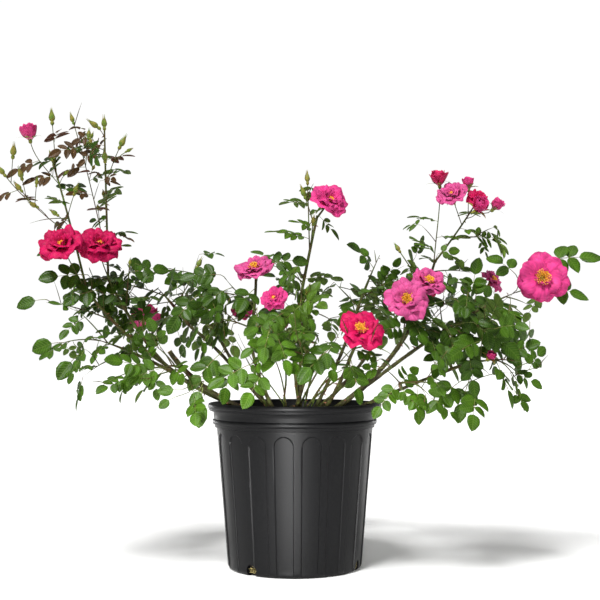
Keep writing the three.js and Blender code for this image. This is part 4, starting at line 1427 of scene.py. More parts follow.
@dataclass(frozen=True)
class CompoundLeaf:
    """A rose leaf: a stalk with pairs of leaflets and one at its end."""

    stalk: float = 12.0
    pair_gap: float = 10.5
    leaflet: float = 22.5
    side_share: float = 0.86  # of the end leaflet's length, for those at its sides
    pair_step: float = 0.05  # and less for each pair that is nearer or farther
    pair_angle: float = 62.0
    angle_spread: float = 9.0
    leaflet_tilt: float = 26.0
    leaflet_droop: float = 0.35
    leaflet_sizes: tuple[float, float] = (0.88, 1.08)
    leaflet_gap: float = 0.4  # from the stalk's line
    stalk_radius: float = 0.45
    stalk_sag: float = 0.12  # of its length
    variants: int = 8
    blade: Leaflet = Leaflet()

    def templates(self) -> list[Shape]:
        """The leaflets that every leaf draws from."""
        return [self.blade.shape(seed) for seed in range(self.variants)]

    def grow(self, place: LeafPlace, templates: list[Shape]) -> tuple[list[Shape], Shape]:
        """One leaf.

        Args:
            place: where it grows.
            templates: leaflets to copy.

        Returns:
            Its leaflets, and its stalk.
        """
        pairs = (place.leaflets - 1) // 2
        length = (self.stalk + self.pair_gap * pairs) * place.size
        sag = UP * (-self.stalk_sag * length)
        end = place.foot + place.axis * length + sag
        middle = place.foot + place.axis * length * 0.5
        path = Path.bezier([place.foot, middle, middle + sag * 0.2, end], 8)
        blades = [self._leaflet(place, templates, path, 1.0, 0, 0)]
        for pair in range(pairs):
            share = (self.stalk + self.pair_gap * pair) / (self.stalk + self.pair_gap * pairs)
            for side in (-1, 1):
                blades.append(self._leaflet(place, templates, path, share, side, pair + 1))
        radius = self.stalk_radius * place.size
        return blades, tube(path, lambda share: radius * mix(1.2, 0.7, share), 3, 4)

    def _leaflet(
        self, place: LeafPlace, templates: list[Shape], path: Path, share: float, side: int, pair: int
    ) -> Shape:
        """One leaflet of a leaf.

        Args:
            place: where the leaf grows.
            templates: leaflets to copy.
            path: the stalk's line.
            share: how far along it the leaflet is.
            side: -1 or 1 for a side leaflet, and 0 for the one at the end.
            pair: the pair's number from the foot, from 1.

        Returns:
            The leaflet in place.
        """
        draw = [noise(place.seed * 97, pair * 2 + side, i) for i in range(5)]
        axis = path.tangent(share)
        normal = square_to(place.normal, axis)
        spread = self.angle_spread
        angle = side * mix(self.pair_angle - spread, self.pair_angle + spread, draw[0])
        away = turned(axis, normal, angle)
        tilt = turned(normal, away, mix(-self.leaflet_tilt, self.leaflet_tilt, draw[1]))
        droop = unit(away - UP * mix(0.0, self.leaflet_droop, draw[2]))
        share_of_end = 1.0 if side == 0 else self.side_share - self.pair_step * abs(pair - 1)
        size = self.leaflet * place.size * share_of_end * mix(*self.leaflet_sizes, draw[3])
        template = templates[int(draw[4] * len(templates)) % len(templates)]
        foot = path.at(share) + away * self.leaflet_gap
        return template.placed(frame_of(droop, tilt), foot, size)


@dataclass(frozen=True)
class Whorl:
    """A ring of petals: their number, sizes in shares of the bloom's radius, and lifts in degrees."""

    count: int
    length: float
    width: float
    lift: float  # above the bloom's level, at a petal's claw
    tip_lift: float  # and at its rim
    cup: float  # how far its sides rise
    wrap: float  # the radius that it bends round
    ruffle: float
    height: float = 0.0


OPEN_WHORLS = (
    Whorl(6, 1.0, 1.0, 16, 2, 0.02, 3.5, 0.1),
    Whorl(6, 0.87, 0.84, 27, 10, 0.08, 2.0, 0.12, 0.03),
    Whorl(6, 0.69, 0.64, 42, 22, 0.16, 1.1, 0.12, 0.05),
    Whorl(5, 0.45, 0.38, 60, 46, 0.3, 0.5, 0.11, 0.06),
)

WHORLS = {
    Fullness.SINGLE: (
        Whorl(6, 1.0, 1.02, 16, 4, 0.02, 3.5, 0.09),
        Whorl(5, 0.82, 0.88, 25, 9, 0.08, 2.0, 0.09, 0.03),
        Whorl(4, 0.42, 0.34, 60, 44, 0.3, 0.5, 0.1, 0.06),
    ),
    Fullness.HALF_DOUBLE: OPEN_WHORLS,
    Fullness.DOUBLE: (
        *OPEN_WHORLS[:3], Whorl(6, 0.54, 0.48, 62, 44, 0.3, 0.5, 0.1, 0.06),
        Whorl(5, 0.38, 0.32, 76, 60, 0.34, 0.3, 0.1, 0.08),
    ),
}

FURLED_WHORLS = (
    Whorl(5, 1.9, 1.7, 44, 82, 0.1, 0.7, 0.07),
    Whorl(4, 1.85, 1.4, 56, 92, 0.1, 0.45, 0.06, 0.02),
    Whorl(4, 1.75, 1.0, 68, 100, 0.1, 0.28, 0.05, 0.04),
    Whorl(3, 1.6, 0.7, 78, 104, 0.1, 0.14, 0.04, 0.05),
)


# Outlines of a head's green parts, as radius and height pairs from the foot up.
OPEN_CUP = [(0, -5.5), (1.5, -5.2), (2.6, -3.2), (2.4, -0.6), (3.4, 0.8), (0, 1.2)]
FURLED_CUP = [(0, -5), (1.4, -4.8), (2.5, -3), (2.5, -0.5), (3.2, 0.8), (0, 1.2)]
BUD_BODY = [(0, -0.5), (1.6, 0), (3.4, 2.5), (3.6, 5), (2.4, 9), (0.9, 12), (0, 13.4)]
BUD_HIP = [(0, -6), (1.2, -5.6), (2.5, -3.8), (2.6, -2), (1.8, 0), (0, 0.4)]

# A sepal along a closed bud: its distance from the axis, its height and its width.
BUD_SEPAL = [
    (1.7, -0.4, 2.0),
    (3.6, 2.2, 5.0),
    (3.95, 5.0, 5.4),
    (2.7, 9.0, 3.8),
    (1.2, 12.5, 1.8),
    (0.7, 16, 0.9),
    (0.8, 19, 0.15),
]


@dataclass
class BloomMaker:
    """Makes flower heads: petals, stamens and the green parts, each for its own piece."""

    petal_grid: int = 8
    petal_root: float = 0.08  # of the radius, from the axis to where a petal starts
    petal_lengths: tuple[float, float] = (0.86, 1.06)
    petal_widths: tuple[float, float] = (0.84, 1.1)
    lift_spread: float = 9.0
    tip_spread: float = 20.0
    unrolled: float = 0.55  # of the way from a petal's lift to its tip's, at its rim
    claw_width: float = 0.26  # of the full width
    full_from: float = 0.62  # of the length
    rounding: tuple[float, float] = (0.32, 2.2)  # of the rim: how much, and how near the sides
    notch: tuple[float, float] = (0.08, 0.22)  # in the rim: its depth and width
    crinkle: float = 0.03  # of the radius, in waves finer than the ruffles
    roll: float = 0.09  # of the radius, by which the rim rolls down
    roll_from: float = 0.75  # of the length
    stamens: int = 72
    stamen_reach: dict[Fullness, float] = field(
        default_factory=lambda: {
            Fullness.SINGLE: 0.28,
            Fullness.HALF_DOUBLE: 0.25,
            Fullness.DOUBLE: 0.16,
        }
    )
    stamen_turn: float = 2.399963  # radians from one to the next
    stamen_lean: tuple[float, float] = (4.0, 50.0)  # from the innermost to the outermost
    filament_radius: float = 0.27
    sepals: int = 5
    shut_share: float = 0.7  # of the buds, whose petals don't show yet
    bud_sizes: tuple[float, float] = (0.55, 1.05)
    petals: dict[PetalTint, Piece] = field(
        default_factory=lambda: {tint: Piece(f"petals_{tint.value}") for tint in PetalTint}
    )
    stamen_piece: Piece = field(default_factory=lambda: Piece("stamens"))
    green: Piece = field(default_factory=lambda: Piece("calyxes_and_buds"))

    def petal(self, whorl: Whorl, radius: float, seed: float) -> Shape:
        """One petal along +X, rising about +Z.

        Args:
            whorl: the ring that it belongs to.
            radius: the bloom's radius.
            seed: sets its own lift, ruffles and notch.

        Returns:
            The single-sided petal, textured from claw to rim.
        """
        draw = [noise(seed, 5, i) for i in range(5)]
        length = whorl.length * radius * mix(*self.petal_lengths, draw[0])
        width = whorl.width * radius * mix(*self.petal_widths, draw[1])
        lift = whorl.lift + mix(-self.lift_spread, self.lift_spread, draw[2])
        tip_lift = whorl.tip_lift + mix(-self.tip_spread, self.tip_spread, draw[3])
        phase = 6.28 * draw[4]
        wrap = whorl.wrap * radius
        points, uv = [], []
        for r in range(self.petal_grid + 1):
            along = r / self.petal_grid
            angle = math.radians(mix(lift, tip_lift, along * self.unrolled))
            spread = mix(self.claw_width, 1, smooth(0, self.full_from, along))
            half_width = 0.5 * width * spread
            roll = self.roll * radius * smooth(self.roll_from, 1, along)
            for c in range(self.petal_grid + 1):
                side = 2 * c / self.petal_grid - 1
                notch = self.notch[0] * math.exp(-((side / self.notch[1]) ** 2)) * along**3
                rounded = self.rounding[0] * abs(side) ** self.rounding[1]
                reach = along * length * (1 - rounded - notch)
                out = self.petal_root * radius + reach * math.cos(angle) + wrap
                height = whorl.height * radius + reach * math.sin(angle)
                height += whorl.cup * side * side * half_width * along
                height += whorl.ruffle * radius * math.sin(4.2 * side + phase) * along**2
                height += self.crinkle * radius * math.sin(9.5 * side + 2.3 * phase) * along**3
                height -= roll * (0.2 + abs(math.sin(2.6 * side + phase)))
                bend = side * half_width / out
                points.append((out * math.cos(bend) - wrap, out * math.sin(bend), height))
                uv.append((along, 0.75 * draw[4] + 0.25 * (0.5 + side / 2)))
        return sheet(points, uv, self.petal_grid, self.petal_grid)

    def ring(
        self, whorl: Whorl, radius: float, axes: np.ndarray, foot: np.ndarray, seed: float
    ) -> list[Shape]:
        """The petals of one whorl in place.

        Args:
            whorl: the ring.
            radius: the bloom's radius.
            axes: the bloom's axes.
            foot: where it sits.
            seed: sets how its petals stand.

        Returns:
            The petals.
        """
        shapes = []
        start = 360 * noise(seed, 6, 0)
        for k in range(whorl.count):
            place = k + 0.3 * (noise(seed, 6, k + 1) - 0.5)
            turn = math.radians(start + 360 * place / whorl.count)
            petal = self.petal(whorl, radius, seed + 1.7 * k)
            shapes.append(petal.placed(axes @ spin(turn), foot))
        return shapes

    def sepal(self, length: float, width: float, lift: float, tip_lift: float) -> Shape:
        """One long pointed sepal along +X, rising about +Z.

        Args:
            length: from foot to tip.
            width: at its widest.
            lift: its angle above the level at its foot.
            tip_lift: and at its tip.

        Returns:
            The sepal.
        """
        points, uv = [], []
        rows, columns = 6, 2
        for r in range(rows + 1):
            along = r / rows
            angle = math.radians(mix(lift, tip_lift, along))
            half_width = width / 2 * (1 - along) ** 0.8 * (0.55 + 0.9 * smooth(0, 0.35, along))
            for c in range(columns + 1):
                side = 2 * c / columns - 1
                out = along * length * math.cos(angle) + 0.5
                height = along * length * math.sin(angle) + 0.1 * abs(side) * half_width
                points.append((out, side * half_width, height))
                uv.append((along, 0.5 + side / 2))
        return sheet(points, uv, rows, columns, turned_over=True)

    def stamen_cluster(
        self, reach: float, axes: np.ndarray, foot: np.ndarray, seed: float
    ) -> list[Shape]:
        """Golden stamens, which lean out round the styles.

        Args:
            reach: about how long they are.
            axes: the bloom's axes.
            foot: where it sits.
            seed: sets how they differ.

        Returns:
            The filaments and anthers.
        """
        anther = turned_shape([(0, -1.0), (0.7, -0.5), (0.62, 0.5), (0, 1.0)], 5)
        shapes = []
        for k in range(self.stamens):
            around = math.degrees(self.stamen_turn * k)
            lean = mix(*self.stamen_lean, math.sqrt(k / self.stamens))
            tip_way = heading(around, 90 - lean)
            base = tip_way * vec(1, 1, 0) * 0.5 * reach + UP * 0.35 * reach
            tip = base + tip_way * reach * mix(0.75, 1.15, noise(seed, 8, k))
            line = Path(np.array([foot + axes @ base, foot + axes @ tip]))
            shapes.append(tube(line, lambda share: self.filament_radius, 3, 1))
            nod = vec(*(noise(seed, 9 + i, k) - 0.5 for i in range(3)))
            anther_axes = frame_of(axes @ square_to(nod, tip_way), axes @ unit(tip_way + nod))
            shapes.append(anther.placed(anther_axes, foot + axes @ tip))
        return shapes

    def add_bloom(self, head: Head, tip: np.ndarray, seed: float) -> None:
        """An open bloom, or a half-open one whose petals are still furled into a cup.

        Args:
            head: the bloom.
            tip: where it sits.
            seed: sets how its petals stand.
        """
        furled = head.kind is HeadKind.HALF
        radius = head.width / 2
        axes = axes_facing(heading(head.bearing, head.elevation))
        for order, whorl in enumerate(FURLED_WHORLS if furled else WHORLS[head.fullness]):
            self.petals[head.tint].add(*self.ring(whorl, radius, axes, tip, seed + 11 * order))
        if furled:
            cup, sepal = FURLED_CUP, self.sepal(1.3 * radius + 3, 5.5, 40, 12)
        else:
            cup, sepal = OPEN_CUP, self.sepal(0.42 * radius + 5, 5.2, -20, -45)
            reach = radius * self.stamen_reach[head.fullness]
            self.stamen_piece.add(*self.stamen_cluster(reach, axes, tip, seed))
        self.green.add(turned_shape(cup, 10).placed(axes, tip))
        for k in range(self.sepals):
            turn = 2 * math.pi * k / self.sepals
            self.green.add(sepal.placed(axes @ spin(turn), tip))

    def add_bud(self, axis: np.ndarray, tip: np.ndarray, seed: float) -> None:
        """A closed bud, in some with the petals' colour between its long sepals.

        Args:
            axis: where it points.
            tip: where it sits.
            seed: sets its size and how far it has opened.
        """
        axes = axes_facing(axis)
        size = mix(*self.bud_sizes, noise(seed, 9, 1))
        shows_petals = noise(seed, 9, 8) > self.shut_share
        skin = self.petals[PetalTint.PINK] if shows_petals else self.green
        skin.add(turned_shape(BUD_BODY, 8).placed(axes, tip, size))
        self.green.add(turned_shape(BUD_HIP, 8).placed(axes, tip, size))
        for k in range(self.sepals):
            turn = 2 * math.pi * (k + noise(seed, 9, 2)) / self.sepals
            open_by = mix(0, 6, noise(seed, 9, k + 3))
            self.green.add(self.hugging_sepal(open_by).placed(axes @ spin(turn), tip, size))

    def hugging_sepal(self, open_by: float) -> Shape:
        """A sepal that lies along a bud's side and runs on to a fine point.

        Args:
            open_by: how far it leans away from the bud, in degrees.

        Returns:
            The sepal.
        """
        points, uv = [], []
        rows = len(BUD_SEPAL) - 1
        for r, (out, height, width) in enumerate(BUD_SEPAL):
            spread = math.tan(math.radians(open_by)) * max(0.0, height)
            for side in (-1, 0, 1):
                bend = side * width / 2 / max(out, 1.0)
                points.append((out * math.cos(bend) + spread, out * math.sin(bend), height))
                uv.append((r / rows, 0.5 + side / 2))
        return sheet(points, uv, rows, 2, turned_over=True)

    def add(self, shoot: Shoot, seed: float) -> None:
        """Whatever head a shoot ends in.

        Args:
            shoot: the shoot.
            seed: the head's own number.
        """
        if shoot.head.kind is HeadKind.BUD:
            self.add_bud(shoot.path.tangent(1), shoot.path.at(1), seed)
        else:
            self.add_bloom(shoot.head, shoot.path.at(1), seed)


# ---------------------------------------------------------------- sub-assemblies


@dataclass
class Wood:
    """The canes, their knotted crown and the shoots: everything that carries the foliage."""

    grower: Grower
    slimness: float = 0.7  # of the solids' canes, which carry their collision shapes
    cane_sides: int = 14
    cane_step: float = 3.5
    shoot_sides: tuple[int, int] = (6, 4)  # of a shoot, and of a fine twig
    shoot_step: float = 7.0
    closing: float = 0.82  # of the radius, at a tip that isn't cut
    bark_relief: float = 0.45
    flare: float = 0.2
    flare_length: float = 0.12  # of the cane
    node_spacing: float = 26.0
    node_swell: float = 0.16
    node_width: float = 0.1  # of the spacing
    crown_radius: float = 12.0
    crown_height: float = 11.0
    crown_lumps: float = 0.34
    thorn_spacing: float = 15.0
    thorn_sizes: tuple[float, float] = (4.6, 3.4)  # on canes and on shoots
    thorny_radius: float = 1.2  # of the thinnest shoot that has thorns
    canes: Piece = field(default_factory=lambda: Piece("canes"))
    shoots: Piece = field(default_factory=lambda: Piece("shoots"))

    def add_cane(self, plan: CanePlan, path: Path, order: int, pruned: bool) -> None:
        """One cane with swollen nodes and thorns, and a pale cut where it was pruned.

        Args:
            plan: its place in the plan.
            path: its line.
            order: its number, which sets its thorns.
            pruned: whether it ends in a cut.
        """
        foot, tip = (radius * self.slimness for radius in plan.radii)

        def radius_at(share: float) -> float:
            """The bare radius at a share of the cane's length.

            Args:
                share: from its foot to its tip.

            Returns:
                The radius, swollen at the nodes and flared at the foot.
            """
            from_node = (share * path.length / self.node_spacing) % 1 - 0.5
            swell = self.node_swell * math.exp(-((from_node / self.node_width) ** 2))
            flare = self.flare * math.exp(-share / self.flare_length)
            closing = self.closing if share == 1 and not pruned else 1.0
            return mix(foot, tip, share) * (1 + flare + swell) * closing

        def relief(place: np.ndarray, share: float) -> float:
            """The ridges and dents of the bark."""
            ridges = fractal.fractal(Vector(place * 0.16), 1.0, 2.0, 3)
            return self.bark_relief * ridges * (1 - 0.4 * share)

        limb = tube(path, radius_at, self.cane_sides, int(path.length / self.cane_step), 0, relief)
        if pruned:
            limb.finishes[-self.cane_sides :] = [1] * self.cane_sides
        self.canes.add(limb)
        self.add_thorns(path, radius_at, 0.2, self.thorn_sizes[0], order, self.canes)

    def add_shoot(self, shoot: Shoot, order: int) -> None:
        """One shoot, a fine tapering tube with a few thorns where it is stout.

        Args:
            shoot: the shoot.
            order: its number, which sets its thorns.
        """
        rings = max(2, int(shoot.path.length / self.shoot_step))
        sides = self.shoot_sides[1 if shoot.fine else 0]
        self.shoots.add(tube(shoot.path, shoot.drawn_radius, sides, rings))
        if shoot.radius > self.thorny_radius:
            size = self.thorn_sizes[1]
            self.add_thorns(shoot.path, shoot.radius_at, 0.1, size, order + 30, self.shoots)

    def add_thorns(
        self, path: Path, radius_at: Callable[[float], float], start: float, size: float, seed: int,
        piece: Piece,
    ) -> None:
        """Hooked thorns along a limb, at odd spacings and turns.

        Args:
            path: the limb's line.
            radius_at: its radius at a share of its length.
            start: the share from which thorns grow.
            size: about how long they are.
            seed: sets their places.
            piece: what they are joined to.
        """
        finish = 2 if piece is self.canes else 1
        count = int(path.length * (1 - start) / self.thorn_spacing)
        for k in range(count):
            share = start + (1 - start) * (k + 0.8 * noise(seed, 21, k)) / count
            tangent = path.tangent(share)
            out = turned(square_to(UP + tangent * 0.01, tangent), tangent, 360 * noise(seed, 22, k))
            length = size * mix(0.6, 1.1, noise(seed, 23, k))
            foot = path.at(share) + out * (radius_at(share) - 0.4)
            point = foot + out * length - tangent * length * 0.45
            middle = foot + out * length * 0.55
            line = Path.bezier([foot, middle, middle, point], 4)
            piece.add(tube(line, lambda along: length * (0.3 - 0.27 * along), 4, 3, finish))

    def add_crown(self) -> None:
        """The knuckle that the canes leave from, lumpy and cracked."""
        level = self.grower.soil_level
        profile = [(0.0, level - 9)]
        for k in range(13):
            angle = math.radians(mix(-35, 88, k / 12))
            height = level + self.crown_height * math.sin(angle)
            profile.append((self.crown_radius * math.cos(angle), height))
        profile.append((0.0, level + self.crown_height))
        knot = turned_shape(profile, 28)
        rough = [fractal.fractal(Vector(point * 0.11), 1.0, 2.1, 4) for point in knot.points]
        lumps = 1 + self.crown_lumps * np.array(rough)
        middle = vec(0, 0, level)
        knot.points = middle + (knot.points - middle) * lumps[:, None]
        self.canes.add(knot)

    def build(self) -> None:
        """Joins each piece and puts it on the part."""
        bark = Bark("cane_bark", 0.66, 1.5, 0.2, "#241b10", "#3c3a1c", "#53602a", 13.0, 0.4)
        cut = Speckled("cut_wood", 0.8, 1.5, 0.5, "#9a7248", "#c9a070", 3.0, 0.2)
        thorn = Speckled("thorn_horn", 0.55, 1.5, 0.5, "#5a3a26", "#8a5a3c", 5.0, 0.1)
        rind = Bark("shoot_rind", 0.55, 1.5, 0.2, "#4c2a1c", "#485022", "#5c7230", 18.0, 0.15)
        canes = self.canes.build([bark.material(), cut.material(), thorn.material()])
        shoots = self.shoots.build([rind.material(), thorn.material()])
        settle(canes, [*CANES, "crown"])
        settle(shoots)


@dataclass
class Foliage:
    """The compound leaves, dealt to one piece for each tint by the spray that they grow on."""

    room: Room
    grown_leaf: CompoundLeaf = field(default_factory=CompoundLeaf)
    young_leaf: CompoundLeaf = field(
        default_factory=lambda: CompoundLeaf(leaflet=27.0, blade=Leaflet(width=0.46, fold=0.5))
    )
    young_height: float = 425.0  # above which leaves are still young and narrow
    flushed_share: float = 0.6  # of a bronze spray's young leaves, the ones still red-brown
    thickness: float = 0.3
    room_needed: tuple[float, ...] = (15.0, 40.0, 60.0)  # how far along a leaf has to be clear
    blades: dict[LeafTint, Piece] = field(
        default_factory=lambda: {tint: Piece(f"leaves_{tint.value}") for tint in LeafTint}
    )
    stalks: Piece = field(default_factory=lambda: Piece("leaf_stalks"))
    count: int = 0

    def __post_init__(self) -> None:
        """Makes the leaflets that every leaf copies."""
        self.grown_templates = self.grown_leaf.templates()
        self.young_templates = self.young_leaf.templates()

    def is_young(self, place: LeafPlace) -> bool:
        """Whether a leaf grows so high that it is still young."""
        return bool(place.foot[2] > self.young_height)

    def grows(self, place: LeafPlace, plan: SprayPlan) -> bool:
        """Whether a spray has a leaf at a place: there is room, and it isn't one that is missing.

        Args:
            place: where it would grow.
            plan: the spray's plan.

        Returns:
            Whether it grows.
        """
        if not all(self.room.free(place.reach(length)) for length in self.room_needed):
            return False
        return self.is_young(place) or noise(place.seed, 72, 5) >= plan.bare

    def add(self, place: LeafPlace, tint: LeafTint) -> None:
        """One leaf, young and narrow or grown; a bronze spray's older leaves have turned green.

        Args:
            place: where it grows.
            tint: its spray's tint.
        """
        young = self.is_young(place)
        leaf = self.young_leaf if young else self.grown_leaf
        templates = self.young_templates if young else self.grown_templates
        flushed = young and noise(place.seed, 71, 3) < self.flushed_share
        if tint is LeafTint.BRONZE and not flushed:
            tint = LeafTint.DEEP
        blades, stalk = leaf.grow(place, templates)
        self.blades[tint].add(*blades)
        self.stalks.add(stalk)
        self.count += len(blades)

    def finishes(self) -> dict[LeafTint, tuple[LeafBlade, LeafBlade]]:
        """The upper skin and the underside of each tint."""
        return {
            LeafTint.DEEP: (
                LeafBlade("leaf_deep_upper", 0.36, 1.4, 0.24, "#2b4708", "#7a9644"),
                LeafBlade("leaf_deep_under", 0.6, 1.4, 0.25, "#4a6220", "#87995c"),
            ),
            LeafTint.GREEN: (
                LeafBlade("leaf_green_upper", 0.38, 1.4, 0.24, "#36560a", "#84a04c"),
                LeafBlade("leaf_green_under", 0.62, 1.4, 0.25, "#526c24", "#90a362"),
            ),
            LeafTint.FRESH: (
                LeafBlade("leaf_fresh_upper", 0.38, 1.4, 0.24, "#3c590c", "#8faa52"),
                LeafBlade("leaf_fresh_under", 0.62, 1.4, 0.25, "#5c762a", "#9aab6a"),
            ),
            LeafTint.BRONZE: (
                LeafBlade("leaf_bronze_upper", 0.38, 1.4, 0.24, "#452e16", "#7c6a3e"),
                LeafBlade("leaf_bronze_under", 0.6, 1.4, 0.25, "#5a3526", "#8f6a50"),
            ),
        }

    def build(self) -> None:
        """Joins each tint, gives it a thickness, and puts it on the part."""
        for tint, (upper, under) in self.finishes().items():
            nodes = [name for name, plan in SPRAYS.items() if plan.tint is tint]
            made = self.blades[tint].build([upper.material(), under.material()])
            thickened(made, self.thickness)
            settle(made, nodes)
        stalk = Bark("leaf_stalk", 0.5, 1.45, 0.4, "#7a4636", "#6f7a3c", "#8a9c50", 12.0, 0.1)
        settle(self.stalks.build([stalk.material()]))
        log.info("%d leaflets", self.count)


@dataclass
class Flowers:
    """The petals by colour, the stamens, and the green cups and sepals."""

    maker: BloomMaker = field(default_factory=BloomMaker)
    thickness: float = 0.22

    def finishes(self) -> dict[PetalTint, tuple[PetalSkin, PetalSkin]]:
        """The inside and the outside of each colour's petals."""
        return {
            PetalTint.CRIMSON: (
                PetalSkin("petal_crimson_inside", 0.55, 1.4, 0.2, "#e8b0a8", "#bb134d", "#bf1453"),
                PetalSkin("petal_crimson_outside", 0.6, 1.4, 0.25, "#e090a8", "#c43266", "#ba2054"),
            ),
            PetalTint.PINK: (
                PetalSkin("petal_pink_inside", 0.55, 1.4, 0.2, "#f4d4c8", "#d0387b", "#d23c80"),
                PetalSkin("petal_pink_outside", 0.6, 1.4, 0.25, "#e89ab4", "#d04480", "#c83274"),
            ),
            PetalTint.MAUVE: (
                PetalSkin("petal_mauve_inside", 0.55, 1.4, 0.2, "#f4dcd4", "#c84c86", "#ca508a"),
                PetalSkin("petal_mauve_outside", 0.6, 1.4, 0.25, "#e4a8c0", "#cc6490", "#c65484"),
            ),
        }

    def build(self) -> None:
        """Joins each kind and puts it on the part."""
        for tint, (inside, outside) in self.finishes().items():
            made = self.maker.petals[tint].build([inside.material(), outside.material()])
            thickened(made, self.thickness)
            settle(made)
        gold = Speckled("stamens_gold", 0.6, 1.45, 0.5, "#efa41a", "#ffcf48", 1.5, 0.1)
        settle(self.maker.stamen_piece.build([gold.material()]))
        calyx = Speckled("calyx_green", 0.55, 1.42, 0.35, "#5c7a28", "#8a7c34", 7.0, 0.15)
        settle(self.maker.green.build([calyx.material()]))


@dataclass
class Bush:
    """The whole plant: wood, foliage and flowers, grown together from the plan."""

    grower: Grower = field(default_factory=Grower)
    fine_leaf: float = 0.8  # the size of a fine twig's leaves, beside the spray's others

    def __post_init__(self) -> None:
        """Finds the room to grow in, and starts the three sub-assemblies."""
        blooms = tuple(
            (np.array(shoot.tip, float), shoot.head) for plan in SPRAYS.values()
            for shoot in plan.shoots if shoot.head and shoot.head.kind is not HeadKind.BUD
        )
        low, high = (np.array(corner, float) / MM for corner in cad_box)
        self.room = Room(low, high, blooms)
        self.wood = Wood(self.grower)
        self.foliage = Foliage(self.room)
        self.flowers = Flowers()

    def grow_spray(self, plan: SprayPlan, cane: Path, seed: int) -> None:
        """The shoots, twigs, leaves and heads of one spray.

        Args:
            plan: the spray's plan.
            cane: the line of the cane that carries it.
            seed: its own number.
        """
        leads = self.grower.leading_shoots(plan, cane)
        twigs = self.grower.seeded_twigs(plan, leads, seed)
        fine = self.grower.fine_twigs(plan, leads + twigs, seed)
        fine = [twig for twig in fine if all(self.room.free(twig.path.at(share)) for share in (0.5, 1))]
        for order, shoot in enumerate([*leads, *twigs, *fine]):
            self.wood.add_shoot(shoot, seed * 100 + order)
            if shoot.head:
                self.flowers.maker.add(shoot, seed * 31 + order * 3.7)
            size = plan.leaf * (self.fine_leaf if shoot.fine else 1.0)
            for place in self.grower.leaf_places(shoot, size, seed, order):
                if self.foliage.grows(place, plan):
                    self.foliage.add(place, plan.tint)
        for order, leaf in enumerate(plan.leaves):
            twig, place = self.grower.leaf_alone(leaf, leads, noise(seed, order, 15))
            self.wood.add_shoot(twig, seed * 100 + order)
            self.foliage.add(place, plan.tint)

    def build(self) -> None:
        """Grows every cane and spray and makes their pieces."""
        paths = {name: self.grower.cane_path(plan) for name, plan in CANES.items()}
        for order, (name, plan) in enumerate(CANES.items()):
            self.wood.add_cane(plan, paths[name], order, pruned=name == "cane_left_cut")
        self.wood.add_crown()
        for order, shoot in enumerate(self.grower.basal_shoots()):
            self.wood.add_shoot(shoot, 4000 + order)
        for seed, plan in enumerate(SPRAYS.values()):
            self.grow_spray(plan, paths[plan.cane], seed)
        self.wood.build()
        self.foliage.build()
        self.flowers.build()


